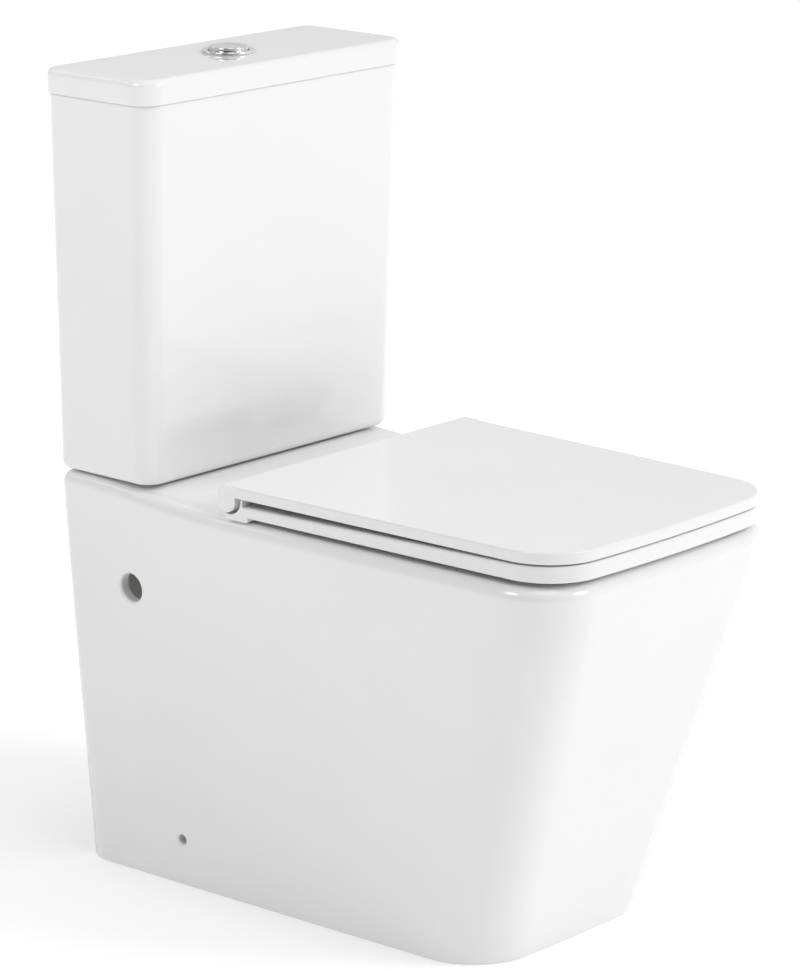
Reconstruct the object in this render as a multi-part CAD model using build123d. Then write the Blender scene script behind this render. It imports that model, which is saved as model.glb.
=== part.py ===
from build123d import *
import os

# Close coupled toilet, back to wall. Millimetres, +Z up, the toilet faces -Y and the wall is at +Y.
# W_... values are distances out from the wall, Z_... values are heights above the floor.

# overall
DEPTH = 658.0
Z_DECK = 424.0
Z_RIM = 414.5

# pan shell: level, half width at the wall, middle and front, front line, front corner, back corner
PAN_LEVELS = (
    (0.0, 160.4, 151.6, 140.0, 539.5, 73.0, 34.0),
    (104.0, 166.8, 161.1, 150.8, 569.8, 71.7, 30.0),
    (207.0, 173.0, 170.7, 161.4, 601.2, 70.5, 25.0),
    (311.0, 178.4, 180.0, 171.8, 634.0, 69.2, 20.0),
    (372.0, 181.4, 185.6, 177.6, 651.6, 68.5, 17.0),
    (424.0, 184.0, 189.0, 181.4, 657.0, 68.0, 15.0),
)
PAN_WALL = 12.0
PAN_BULGE = 4.0
W_SCOOP_START, W_SCOOP_END = 131.0, 190.0
PAN_EDGE_R = 12.0
Z_HOLLOW_TOP = 400.0

# bowl: height, half width, distance of its back and its front from the wall
BOWL_LEVELS = (
    (84.0, 30.0, 318.0, 392.0),
    (130.0, 42.0, 305.0, 405.0),
    (190.0, 66.0, 298.0, 460.0),
    (260.0, 100.0, 290.0, 540.0),
    (340.0, 127.0, 285.0, 592.0),
    (416.0, 132.0, 283.0, 603.0),
)
BOWL_WALL = 11.0

# waterway behind the bowl, and the outlet spigot
TRAP_PATH = ((352.0, 118.0), (285.0, 118.0), (225.0, 238.0), (163.0, 238.0), (118.0, 180.0),
             (60.0, 180.0))
TRAP_BEND_R = 50.0
TRAP_BORE_R, TRAP_R = 34.0, 43.0
W_OUTLET, Z_OUTLET, OUTLET_R, OUTLET_BORE_R = 38.0, 180.0, 51.0, 42.0

# flush way under the deck
W_VALVE = 72.0
INLET_R, INLET_LEDGE_R, Z_LEDGE = 44.0, 30.0, 393.0
DUCT_HALF, Z_DUCT = 36.0, 366.0

# holes in the pan's sides: radius, distance from the wall, height, half width there, and the side's lean
SIDE_HOLE = (16.0, 100.0, 316.0, 179.2, 3.5)
FIX_HOLE = (5.5, 148.0, 51.0, 159.0, 4.5)

# where the pan's one casting is divided into simple pieces, and the bridge between the sides' backs
Z_SKIRT_TOP, W_SKIRT_FRONT, Z_SUMP_TOP = 386.0, 480.0, 200.0
W_BRIDGE, BRIDGE_T, Z_BRIDGE = 3.0, 12.0, 245.0

# cistern: half width and front line at its bottom and top
Z_CIS, Z_CIS_TOP = 425.9, 814.3
CIS_BOTTOM, CIS_TOP = (183.9, 133.7), (190.6, 144.5)
CIS_FRONT_R, CIS_BACK_R, CIS_WALL, CIS_FLOOR = 24.0, 15.0, 9.0, 12.0

# cistern lid
LID_HALF, LID_FRONT, Z_LID_TOP = 194.0, 147.0, 840.0
LID_PLATE, LIP_DEPTH, LIP_GAP, LIP_WALL = 11.0, 13.0, 3.0, 8.0

# close coupling hardware
BOLT_X, BOLT_R = 80.0, 4.0
TAIL_R, TAIL_BORE_R, Z_TAIL = 30.0, 24.0, 395.0
NUT_R, NUT_T = 40.0, 12.0

# flush valve
CAGE_R, CAGE_BORE_R, Z_CAGE, Z_CAGE_TOP = 31.0, 27.5, 506.0, 700.0
STEM_R, Z_STEM, Z_STEM_TOP = 12.0, 452.0, 640.0

# fill valve
FILL_X, W_FILL, SHANK_R, THREAD_R, COLUMN_R = -125.0, 68.0, 10.4, 10.0, 9.0
FLOAT_R, Z_FLOAT, FLOAT_H = 30.0, 560.0, 70.0
Z_HEAD = 700.0

# push buttons
BUTTON_R, BUTTON_GAP, BUTTON_TURN, BUTTON_OFFSET = 20.5, 0.6, 167.0, 7.7
BEZEL_R, BEZEL_T, SLEEVE_R, SLEEVE_BORE_R = 28.0, 3.0, 24.0, 21.3
Z_BUTTON_TOP = 846.7
ROD_R, ROD_OUT = 3.0, 12.5
Z_ROD_END = 688.0

# seat
SEAT_BACK_HALF, SEAT_FRONT_HALF, SEAT_CORNER, SEAT_BULGE = 183.6, 171.9, 60.0, 8.2
Z_LID, Z_LID_SKIN, Z_SEAT_TOP, W_SEAT_LID = 438.0, 445.0, 449.5, 232.0
W_AXIS, Z_AXIS, BARREL_R = 239.0, 434.0, 12.0
Z_RING, Z_RING_BACK, Z_RING_FRONT, W_RING = 419.7, 430.5, 436.5, 259.0
RING_HOLE_HALF, W_RING_HOLE_BACK, W_RING_HOLE_FRONT = 116.0, 306.0, 592.0
POST_X, POST_T, LUG_R, PIN_R = 77.5, 27.0, 10.0, 4.0
LUG_X0, LUG_X1, TONGUE_X0 = 96.0, 121.0, 124.0
Z_CRADLE, W_CRADLE_BACK, W_CRADLE_FRONT = 415.3, 238.0, 268.0
CRADLE_R, W_CRADLE_R, Z_CRADLE_R = 16.0, 243.0, 436.5


def at(x, w, z=0.0):
    """A place x to the side, w out from the wall and z above the floor."""
    return Location((x, DEPTH / 2 - w, z))


def slab(x0, x1, w0, w1, z0, z1):
    """An upright box between two sideways, wall distance and height limits."""
    box = Box(x1 - x0, w1 - w0, z1 - z0)
    return at((x0 + x1) / 2, (w0 + w1) / 2, (z0 + z1) / 2) * box


def post(x, w, z0, z1, radius):
    """An upright cylinder."""
    return at(x, w, (z0 + z1) / 2) * Cylinder(radius, z1 - z0)


def ring(x, w, z0, z1, outer, inner):
    """An upright cylinder with a hole down the middle."""
    return post(x, w, z0, z1, outer) - post(x, w, z0 - 1, z1 + 1, inner)


def bar(x0, x1, w, z, radius):
    """A cylinder lying across the toilet."""
    return at((x0 + x1) / 2, w, z) * Rot(0, 90, 0) * Cylinder(radius, x1 - x0)


def both(shape):
    """A shape and its mirror image on the other side."""
    return shape + mirror(shape, Plane.YZ)


def outline(z, back, front, halves, radii, bulge):
    """A plan outline: half widths at back, middle and front; radii at back and front."""
    half_back, half_mid, half_front = halves
    with BuildSketch(Plane.XY.offset(z)) as sketch:
        with BuildLine():
            y0, y1 = DEPTH / 2 - back, DEPTH / 2 - front
            Line((-half_back, y0), (half_back, y0))
            ThreePointArc((half_back, y0), (half_mid, (y0 + y1) / 2), (half_front, y1 + bulge))
            ThreePointArc((half_front, y1 + bulge), (0, y1), (-half_front, y1 + bulge))
            ThreePointArc((-half_front, y1 + bulge), (-half_mid, (y0 + y1) / 2), (-half_back, y0))
        make_face()
        corners = sketch.vertices().sort_by(Axis.Y)
        fillet(corners[:2], radii[1])
        corners = [v for v in sketch.vertices() if v.Y > y0 - 0.01]
        if radii[0] > 0:
            fillet(corners, radii[0])
    return sketch.sketch


def pan_body(inset):
    """The pan's outside, or the hollow behind it when inset by the wall's thickness."""
    faces = []
    for z, back, mid, front, w_front, front_r, back_r in PAN_LEVELS:
        if inset:
            z = -5.0 if z == 0 else min(z, Z_HOLLOW_TOP)
        halves = (back - inset, mid - inset, front - inset)
        radii = (max(back_r - inset, 3.0), front_r - inset)
        w_back = -15.0 if inset else 0.0
        faces.append(outline(z, w_back, w_front - inset, halves, radii, PAN_BULGE))
    return loft(faces)


def above_pan():
    """Everything above the deck, the sweep down to the rim and the rim itself."""
    half = DEPTH / 2
    with BuildSketch(Plane.YZ) as sketch:
        with BuildLine():
            a, b = (half - W_SCOOP_START, Z_DECK), (half - W_SCOOP_END, Z_RIM)
            Line((half + 40, Z_DECK), a)
            Spline(a, b, tangents=((-1, -0.55), (-1, 0)))
            Polyline(b, (-half - 40, Z_RIM), (-half - 40, 500), (half + 40, 500), (half + 40, Z_DECK))
        make_face()
    return extrude(sketch.sketch, 260, both=True)


def bowl(grow):
    """The bowl's inside, or its outside when grown by the wall's thickness."""
    faces = []
    for z, half, w_back, w_front in BOWL_LEVELS:
        place = at(0, (w_back + w_front) / 2, z - grow if z < Z_RIM else z + grow)
        faces.append(place * Ellipse(half + grow, (w_front - w_back) / 2 + grow))
    return loft(faces)


def trap(radius):
    """A round way along the trap's centre line, straight between its bends."""
    points = [(0, DEPTH / 2 - w, z) for w, z in TRAP_PATH]
    path = FilletPolyline(*points, radius=TRAP_BEND_R)
    start = Plane(origin=points[0], z_dir=(0, 1, 0))
    return sweep(start * Circle(radius), path)


def across(w0, w1, z, radius):
    """A cylinder running straight out from the wall."""
    return at(0, (w0 + w1) / 2, z) * Rot(90, 0, 0) * Cylinder(radius, w1 - w0)


def side_bore(radius, w, z, half, lean):
    """A bore square to the leaning side of the pan, and its mirror image."""
    drill = Pos(half, DEPTH / 2 - w, z) * Rot(0, 90 + lean, 0) * Cylinder(radius, 60)
    return both(drill)


def pan_casting():
    """The pan's outside: skirt, deck and rim, with its fixing holes."""
    shell = pan_body(0) - above_pan()
    top = [e for e in shell.edges() if e.bounding_box().min.Z > Z_RIM - 1]
    body = fillet(top, PAN_EDGE_R) - pan_body(PAN_WALL) - bowl(BOWL_WALL)
    body -= post(0, W_VALVE, 380, Z_DECK + 5, INLET_R)
    body -= both(post(BOLT_X, W_VALVE, 380, 440, 6.0))
    body -= both(post(POST_X, W_AXIS, 380, 440, 8.0))
    body -= post(FILL_X, W_FILL, 380, 440, 19.0)
    return body - side_bore(*SIDE_HOLE) - side_bore(*FIX_HOLE)


def pan():
    """The pan's top: the deck that carries the cistern and the rim round the bowl."""
    return pan_casting() & slab(-230, 230, -20, DEPTH + 20, Z_SKIRT_TOP, 500)


def pan_skirt_side(side):
    """One side of the skirt: side +1 is the right, -1 the left."""
    inner, outer = sorted((0, 230 * side))
    return pan_casting() & slab(inner, outer, -20, W_SKIRT_FRONT, -20, Z_SKIRT_TOP)


def pan_skirt_front():
    """The front of the skirt with its two rounded corners."""
    return pan_casting() & slab(-230, 230, W_SKIRT_FRONT, DEPTH + 20, -20, Z_SKIRT_TOP)


def pan_back_bridge():
    """The upright web that ties the two sides together behind, above the outlet."""
    web = slab(-230, 230, W_BRIDGE, W_BRIDGE + BRIDGE_T, Z_BRIDGE, Z_SKIRT_TOP)
    return web & pan_body(PAN_WALL)


def whole_bowl():
    """The bowl, open to the trap low down and to the flush way under its rim."""
    body = bowl(BOWL_WALL) - above_pan() - bowl(0)
    return body - trap(TRAP_BORE_R) - flush_room()


def pan_bowl():
    """The upper bowl, from under the rim down to the sump."""
    return whole_bowl() & slab(-230, 230, 200, DEPTH, Z_SUMP_TOP, 500)


def pan_sump():
    """The lower bowl, where the water stands and the trap begins."""
    return whole_bowl() & slab(-230, 230, 200, DEPTH, 0, Z_SUMP_TOP)


def pan_trapway():
    """The trap's rising and falling tube, ending in the outlet spigot."""
    body = trap(TRAP_R) + across(W_OUTLET, 88, Z_OUTLET, OUTLET_R)
    return body - trap(TRAP_BORE_R) - across(W_OUTLET - 10, 80, Z_OUTLET, OUTLET_BORE_R) - bowl(BOWL_WALL)


def flush_room():
    """The space inside the flush way, from the pan's inlet to the bowl."""
    return slab(-DUCT_HALF, DUCT_HALF, 34, 296, Z_DUCT, Z_LEDGE - 4)


def pan_flush_way():
    """The flat duct under the deck that takes the water from the inlet to the bowl."""
    body = slab(-DUCT_HALF - 9, DUCT_HALF + 9, 24, 300, Z_DUCT - 9, Z_HOLLOW_TOP)
    body += post(0, W_VALVE, Z_DUCT - 9, Z_HOLLOW_TOP, INLET_R + 9)
    body -= flush_room() + post(0, W_VALVE, Z_DUCT, Z_DECK, INLET_LEDGE_R)
    return body - post(0, W_VALVE, Z_LEDGE, Z_DECK, INLET_R) - bowl(BOWL_WALL)


def box_section(z, half, front, inset=0.0):
    """A rounded box outline with its back on the wall."""
    face = Rectangle(2 * (half - inset), front - 2 * inset)
    corners = face.vertices().sort_by(Axis.Y)
    face = fillet(corners[:2], max(CIS_FRONT_R - inset, 9.0))
    corners = face.vertices().sort_by(Axis.Y)
    return at(0, front / 2, z) * fillet(corners[-2:], max(CIS_BACK_R - inset, 9.0))


def cistern():
    """The open cistern with holes for its fixings, the flush valve and the water inlet."""
    body = loft([box_section(Z_CIS, *CIS_BOTTOM), box_section(Z_CIS_TOP, *CIS_TOP)])
    body = fillet([e for e in body.edges() if e.bounding_box().max.Z < Z_CIS + 1], 9.0)
    body = fillet([e for e in body.edges() if e.bounding_box().min.Z > Z_CIS_TOP - 1], 2.0)
    slope = CIS_FLOOR / (Z_CIS_TOP - Z_CIS)
    low = [a + (b - a) * slope for a, b in zip(CIS_BOTTOM, CIS_TOP)]
    room = loft([box_section(Z_CIS + CIS_FLOOR, *low, CIS_WALL),
                 box_section(Z_CIS_TOP + 1, *CIS_TOP, CIS_WALL)])
    body -= fillet([e for e in room.edges() if e.bounding_box().max.Z < Z_CIS + CIS_FLOOR + 1], 8.0)
    body -= post(0, W_VALVE, 400, 460, TAIL_R + 1)
    body -= both(post(BOLT_X, W_VALVE, 400, 460, 6.0))
    body -= post(FILL_X, W_FILL, 400, 460, SHANK_R + 1)
    return body


def cistern_lid():
    """The lift-off lid: a thick plate with a lip that drops inside the cistern."""
    block = box_section(Z_CIS_TOP, LID_HALF, LID_FRONT)
    body = extrude(block, Z_LID_TOP - Z_CIS_TOP, dir=(0, 0, 1))
    body = fillet([e for e in body.edges() if e.bounding_box().min.Z > Z_LID_TOP - 1], 7.5)
    body = fillet([e for e in body.edges() if e.bounding_box().max.Z < Z_CIS_TOP + 1], 2.0)
    lip_out = CIS_WALL + LIP_GAP
    lip = extrude(box_section(Z_CIS_TOP - LIP_DEPTH, *CIS_TOP, lip_out), LIP_DEPTH + 4, dir=(0, 0, 1))
    room = extrude(box_section(Z_CIS_TOP - LIP_DEPTH - 1, *CIS_TOP, lip_out + LIP_WALL),
                   LIP_DEPTH + 1 + Z_LID_TOP - LID_PLATE - Z_CIS_TOP, dir=(0, 0, 1))
    return body + lip - room - post(0, W_VALVE, 800, 860, SLEEVE_R + 0.5)


def seat_outline(w_back, z0, z1, inset=0.0):
    """The seat's plan outline as a solid between two heights."""
    taper = (SEAT_BACK_HALF - SEAT_FRONT_HALF) / (DEPTH - 227.0)
    half_back = SEAT_BACK_HALF - (w_back - 227.0) * taper - inset
    half_front = SEAT_FRONT_HALF - inset
    halves = (half_back, (half_back + half_front) / 2 + 0.4, half_front)
    radii = (0, SEAT_CORNER - inset)
    return extrude(outline(z0, w_back, DEPTH - inset, halves, radii, SEAT_BULGE), z1 - z0, dir=(0, 0, 1))


def seat_lid():
    """The seat lid: a thin skin with a turned down edge, and a hinge barrel at each side."""
    body = seat_outline(W_SEAT_LID, Z_LID, Z_SEAT_TOP)
    body = fillet([e for e in body.edges() if e.bounding_box().min.Z > Z_SEAT_TOP - 1], 2.0)
    body -= seat_outline(W_SEAT_LID + 22, Z_LID - 1, Z_LID_SKIN, 6.0)
    body -= slab(-TONGUE_X0, TONGUE_X0, 220, 270, Z_LID - 1, Z_LID_SKIN)
    barrel = bar(TONGUE_X0, 200, W_AXIS, Z_AXIS, BARREL_R)
    barrel += slab(TONGUE_X0, 200, W_AXIS - BARREL_R, W_AXIS + BARREL_R, Z_AXIS, Z_SEAT_TOP)
    edge = [e for e in barrel.edges().filter_by(Axis.X)
            if e.center().Z > Z_SEAT_TOP - 0.1 and e.center().Y > DEPTH / 2 - W_AXIS]
    barrel = both(fillet(edge, 8.0)) & seat_outline(W_AXIS - BARREL_R, 420, Z_SEAT_TOP)
    body += barrel
    for x in (-120, 120):
        for w in (330, 560):
            body += post(x, w, Z_LID, Z_LID_SKIN + 1, 9.0)
    return body - both(bar(TONGUE_X0 - 5, 177, W_AXIS, Z_AXIS, PIN_R + 0.1))


def ring_top(w):
    """Height of the seat ring's top at a distance from the wall."""
    return Z_RING_BACK + (Z_RING_FRONT - Z_RING_BACK) * (w - W_RING) / (DEPTH - W_RING)


def cradle():
    """The end of the ring's side that curves round under the lid's hinge barrel."""
    block = slab(TONGUE_X0 + 1, 200, W_CRADLE_BACK, W_CRADLE_FRONT, Z_CRADLE, 434)
    low = [e for e in block.edges().filter_by(Axis.X)
           if e.center().Z < Z_CRADLE + 1 and e.center().Y < DEPTH / 2 - W_CRADLE_FRONT + 1]
    block = fillet(low, 3.0) - bar(TONGUE_X0, 210, W_CRADLE_R, Z_CRADLE_R, CRADLE_R)
    return both(block) & seat_outline(W_CRADLE_BACK - 1, Z_CRADLE - 1, Z_SEAT_TOP)


def seat_ring():
    """The seat ring, thinner at the back, with lugs for the hinge pins and a cradle at each side."""
    body = seat_outline(W_RING, Z_RING, Z_SEAT_TOP) + cradle()
    with BuildSketch(Plane.YZ) as sketch:
        with BuildLine():
            back, front = DEPTH / 2 - W_RING + 30, -DEPTH / 2 - 20
            Polyline((back, ring_top(W_RING - 30)), (front, ring_top(DEPTH + 20)), (front, 480),
                     (back, 480), close=True)
        make_face()
    body -= extrude(sketch.sketch, 260, both=True)
    middle, reach = (W_RING_HOLE_BACK + W_RING_HOLE_FRONT) / 2, (W_RING_HOLE_FRONT - W_RING_HOLE_BACK) / 2
    body -= extrude(at(0, middle, Z_RING - 1) * Ellipse(RING_HOLE_HALF, reach), 40, dir=(0, 0, 1))
    body -= both(bar(TONGUE_X0, 210, W_CRADLE_R, Z_CRADLE_R, CRADLE_R))
    lug = bar(LUG_X0, LUG_X1, W_AXIS, Z_AXIS, LUG_R)
    lug += slab(LUG_X0, LUG_X1, W_AXIS, W_RING + 8, Z_AXIS - LUG_R, Z_RING_BACK - 1)
    body += both(lug)
    return body - both(bar(LUG_X0 - 5, LUG_X1 + 5, W_AXIS, Z_AXIS, PIN_R + 0.1))


def ring_buffers():
    """Four rubber pads that carry the seat ring on the rim."""
    pads = Part()
    for w, x in ((300, 148), (560, 138)):
        pads += both(post(x, w, Z_RIM + 0.2, Z_RING, 8.0))
    return pads


def lid_buffers():
    """Four rubber pads under the lid, cut to meet the sloping top of the ring."""
    pads = Part()
    for w in (330, 560):
        pads += both(post(120, w, ring_top(w + 8) + 0.3, Z_LID, 6.5))
    return pads


def hinge_posts():
    """A post on a round foot at each side, bored for the hinge pin."""
    x0, x1 = POST_X - POST_T / 2, POST_X + POST_T / 2
    body = post(POST_X, W_AXIS, Z_RIM, Z_RIM + 4, 22.0)
    body += bar(x0, x1, W_AXIS, Z_AXIS, LUG_R)
    body += slab(x0, x1, W_AXIS - 8, W_AXIS + 8, Z_RIM + 2, Z_AXIS)
    body -= bar(x0 - 5, x1 + 5, W_AXIS, Z_AXIS, PIN_R + 0.05)
    body -= post(POST_X, W_AXIS, Z_RIM - 5, Z_RIM + 7, BOLT_R + 0.1)
    return both(body)


def hinge_pins():
    """One straight pin at each side through the post, the ring's lug and the lid's barrel."""
    return both(chamfer(bar(POST_X - POST_T / 2, 175, W_AXIS, Z_AXIS, PIN_R).edges(), 0.6))


def hinge_bolts():
    """Studs from the hinge posts down through the rim."""
    return both(post(POST_X, W_AXIS, 372, Z_RIM + 7, BOLT_R))


def hinge_bushes():
    """Rubber sleeves that centre the studs in the rim's holes."""
    return both(ring(POST_X, W_AXIS, Z_HOLLOW_TOP - 6, Z_RIM, 7.9, BOLT_R + 0.05))


def knob_nut(x, w, z, radius, height, bore):
    """A hand nut with four wings."""
    body = post(x, w, z, z + height, radius)
    for turn in (0, 90):
        wing = Rot(0, 0, turn) * Box(2 * radius + 7, 4.0, height * 0.7)
        body += at(x, w, z + height * 0.35) * wing
    return body - post(x, w, z - 1, z + height + 1, bore)


def hinge_nuts():
    """Plastic hand nuts on the hinge studs, under the rim."""
    return both(knob_nut(POST_X, W_AXIS, Z_HOLLOW_TOP - 18, 8.0, 11.8, BOLT_R + 0.05))


def cistern_bolts():
    """Flat headed bolts that hold the cistern down on the deck."""
    z_head = Z_CIS + CIS_FLOOR + 3.0
    body = post(BOLT_X, W_VALVE, 374, z_head, BOLT_R)
    body += post(BOLT_X, W_VALVE, z_head, z_head + 5, 9.0)
    return both(body - slab(BOLT_X - 10, BOLT_X + 10, W_VALVE - 1, W_VALVE + 1, z_head + 3, z_head + 6))


def bolt_washers():
    """Rubber washers under the bolt heads, inside the cistern."""
    z = Z_CIS + CIS_FLOOR
    return both(ring(BOLT_X, W_VALVE, z, z + 3, 12.0, BOLT_R + 0.05))


def cistern_pads():
    """Thin rubber pads between the cistern and the deck."""
    return both(ring(BOLT_X, W_VALVE, Z_DECK, Z_CIS, 14.0, 6.0))


def wing_nuts():
    """Hand nuts on the cistern bolts, under the deck."""
    return both(knob_nut(BOLT_X, W_VALVE, Z_HOLLOW_TOP - 14, 8.0, 12.0, BOLT_R + 0.05))


def bolt_plates():
    """Steel washers between the hand nuts and the underside of the deck."""
    return both(ring(BOLT_X, W_VALVE, Z_HOLLOW_TOP - 2, Z_HOLLOW_TOP, 13.0, BOLT_R + 0.05))


def doughnut():
    """The soft sealing ring between the cistern's nut and the pan's inlet."""
    return ring(0, W_VALVE, Z_LEDGE, Z_CIS - NUT_T, INLET_R - 1.5, TAIL_R + 0.1)


def valve_backnut():
    """The big nut that holds the flush valve in the cistern's floor."""
    body = ring(0, W_VALVE, Z_CIS - NUT_T, Z_CIS, NUT_R, TAIL_R + 0.05)
    for step in range(8):
        notch = Rot(0, 0, step * 45) * Pos(NUT_R, 0, 0) * Box(4, 8, NUT_T + 2)
        body -= at(0, W_VALVE, Z_CIS - NUT_T / 2) * notch
    return body


def valve_washer():
    """The flat rubber washer under the flush valve's flange."""
    z = Z_CIS + CIS_FLOOR
    return ring(0, W_VALVE, z, z + 2, 37.0, TAIL_R + 0.05)


def flush_valve():
    """The flush valve: tail, flange, four legs, windowed housing and a cap with rod guides."""
    z = Z_CIS + CIS_FLOOR + 2
    body = post(0, W_VALVE, Z_TAIL, z + 5, TAIL_R) + post(0, W_VALVE, z, z + 6, 37.0)
    body -= post(0, W_VALVE, Z_TAIL - 1, z + 10, TAIL_BORE_R)
    cage = ring(0, W_VALVE, z + 4, Z_CAGE_TOP, CAGE_R, CAGE_BORE_R)
    for turn in (45, 135):
        cut = Rot(0, 0, turn) * Box(90, 34, Z_CAGE - z - 10)
        cage -= at(0, W_VALVE, (z + 10 + Z_CAGE) / 2) * cut
        cut = Rot(0, 0, turn) * Box(90, 16, 90)
        cage -= at(0, W_VALVE, 600) * cut
    cap = post(0, W_VALVE, Z_CAGE_TOP - 40, Z_CAGE_TOP, CAGE_BORE_R + 1)
    for x in rod_places():
        cap -= at(x[0], W_VALVE - x[1], Z_CAGE_TOP - 15) * Cylinder(ROD_R + 0.8, 40)
    return body + cage + cap


def valve_stem():
    """The overflow tube that lifts the seal, with the disc that holds the seal."""
    body = ring(0, W_VALVE, Z_STEM, Z_STEM_TOP, STEM_R, STEM_R - 2.5)
    body += ring(0, W_VALVE, Z_STEM, Z_STEM + 6, 26.0, STEM_R - 2.5)
    return body + ring(0, W_VALVE, 540, 545, 26.5, STEM_R - 2.5)


def valve_seal():
    """The rubber seal under the stem's disc."""
    z = Z_CIS + CIS_FLOOR + 8.2
    return ring(0, W_VALVE, z, Z_STEM, 27.0, STEM_R - 2.5)


def fill_washer():
    """The rubber washer under the fill valve's collar."""
    z = Z_CIS + CIS_FLOOR
    return ring(FILL_X, W_FILL, z, z + 2.5, 16.0, THREAD_R + 0.05)


def fill_valve():
    """The fill valve: threaded shank, collar and the tall column up to its head."""
    z = Z_CIS + CIS_FLOOR + 2.5
    body = post(FILL_X, W_FILL, 378, Z_CIS - 10, SHANK_R) + post(FILL_X, W_FILL, 400, z + 4, THREAD_R)
    body += post(FILL_X, W_FILL, z, z + 5, 16.0)
    body += post(FILL_X, W_FILL, z, Z_HEAD, COLUMN_R)
    body += post(FILL_X, W_FILL, Z_FLOAT - 6, Z_FLOAT - 0.3, 15.0)
    for turn in range(0, 180, 45):
        rib = Rot(0, 0, turn) * Box(26, 2.0, 60)
        body += at(FILL_X, W_FILL, z + 34) * rib
    return body - post(FILL_X, W_FILL, 377, Z_HEAD - 10, 5.5)


def fill_nut():
    """The plastic nut that holds the fill valve under the cistern."""
    hexagon = extrude(RegularPolygon(16.0, 6), 10)
    return at(FILL_X, W_FILL, Z_CIS - 10) * hexagon - post(FILL_X, W_FILL, 400, 440, THREAD_R + 0.05)


def fill_head():
    """The fill valve's head: a round chamber with a cap and an adjusting screw."""
    body = post(FILL_X, W_FILL, Z_HEAD, Z_HEAD + 26, 22.0)
    body = chamfer(body.edges(), 2.0) + post(FILL_X, W_FILL, Z_HEAD + 24, Z_HEAD + 38, 14.0)
    body += slab(FILL_X + 10, FILL_X + 30, W_FILL - 6, W_FILL + 6, Z_HEAD + 8, Z_HEAD + 18)
    return body + post(FILL_X + 25, W_FILL, Z_HEAD + 2, Z_HEAD + 24, 4.0)


def float_cup():
    """The float that rides up and down on the fill valve's column."""
    cup = ring(FILL_X, W_FILL, Z_FLOAT, Z_FLOAT + FLOAT_H, FLOAT_R, COLUMN_R + 0.8)
    cup = fillet([e for e in cup.edges() if e.bounding_box().size.X > 50], 4.0)
    return cup - ring(FILL_X, W_FILL, Z_FLOAT + 8, Z_FLOAT + FLOAT_H + 1, FLOAT_R - 3, COLUMN_R + 3.5)


def rod_places():
    """Where the two push rods stand: sideways and towards the front, from the button's middle."""
    way = Vector(1, 0, 0).rotate(Axis.Z, BUTTON_TURN)
    return [(way.X * d, way.Y * d) for d in (-ROD_OUT, ROD_OUT)]


def button_half(side):
    """One part of the split push button: side +1 is the large one, -1 the small one."""
    z0 = Z_LID_TOP - 6
    disc = post(0, W_VALVE, z0, Z_BUTTON_TOP, BUTTON_R)
    disc = fillet(disc.edges().sort_by(Axis.Z)[-1:], 1.2)
    cut = -side * 60 - side * -BUTTON_GAP / 2 - BUTTON_OFFSET
    blade = Rot(0, 0, BUTTON_TURN) * Pos(cut, 0, 0) * Box(120, 120, 60)
    return disc - at(0, W_VALVE, Z_LID_TOP) * blade


def push_rod(index):
    """A rod from a button down into the flush valve's cap."""
    x, y = rod_places()[index]
    return post(x, W_VALVE - y, Z_ROD_END, Z_LID_TOP - 6, ROD_R)


def bezel():
    """The chrome ring round the buttons with the threaded sleeve below it."""
    body = post(0, W_VALVE, Z_LID_TOP, Z_LID_TOP + BEZEL_T, BEZEL_R)
    body = fillet(body.edges().sort_by(Axis.Z)[-1:], 1.5)
    body += post(0, W_VALVE, 808, Z_LID_TOP + 1, SLEEVE_R)
    body -= post(0, W_VALVE, 812, Z_LID_TOP + 10, SLEEVE_BORE_R)
    for x, y in rod_places():
        body -= post(x, W_VALVE - y, 800, 820, ROD_R + 0.6)
    return body


def bezel_nut():
    """The locknut that clamps the bezel's sleeve under the cistern lid."""
    z = Z_LID_TOP - LID_PLATE
    body = ring(0, W_VALVE, z - 9, z, 31.0, SLEEVE_R + 0.05)
    for step in range(6):
        grip = Rot(0, 0, step * 60) * Pos(32, 0, 0) * Box(6, 5, 9)
        body += at(0, W_VALVE, z - 4.5) * grip
    return body


PARTS = {
    "pan": pan,
    "pan_skirt_left": lambda: pan_skirt_side(-1),
    "pan_skirt_right": lambda: pan_skirt_side(1),
    "pan_skirt_front": pan_skirt_front,
    "pan_back_bridge": pan_back_bridge,
    "pan_bowl": pan_bowl,
    "pan_sump": pan_sump,
    "pan_trapway": pan_trapway,
    "pan_flush_way": pan_flush_way,
    "cistern": cistern,
    "cistern_lid": cistern_lid,
    "seat_ring": seat_ring,
    "seat_lid": seat_lid,
    "seat_ring_buffers": ring_buffers,
    "seat_lid_buffers": lid_buffers,
    "hinge_posts": hinge_posts,
    "hinge_pins": hinge_pins,
    "hinge_bolts": hinge_bolts,
    "hinge_bushes": hinge_bushes,
    "hinge_nuts": hinge_nuts,
    "cistern_bolts": cistern_bolts,
    "cistern_bolt_washers": bolt_washers,
    "cistern_pads": cistern_pads,
    "cistern_bolt_plates": bolt_plates,
    "cistern_wing_nuts": wing_nuts,
    "doughnut_seal": doughnut,
    "flush_valve_backnut": valve_backnut,
    "flush_valve_washer": valve_washer,
    "flush_valve": flush_valve,
    "flush_valve_stem": valve_stem,
    "flush_valve_seal": valve_seal,
    "fill_valve": fill_valve,
    "fill_valve_washer": fill_washer,
    "fill_valve_nut": fill_nut,
    "fill_valve_head": fill_head,
    "fill_valve_float": float_cup,
    "button_bezel": bezel,
    "button_bezel_nut": bezel_nut,
    "button_full_flush": lambda: button_half(1),
    "button_half_flush": lambda: button_half(-1),
    "push_rod_full": lambda: push_rod(1),
    "push_rod_half": lambda: push_rod(0),
}


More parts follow.
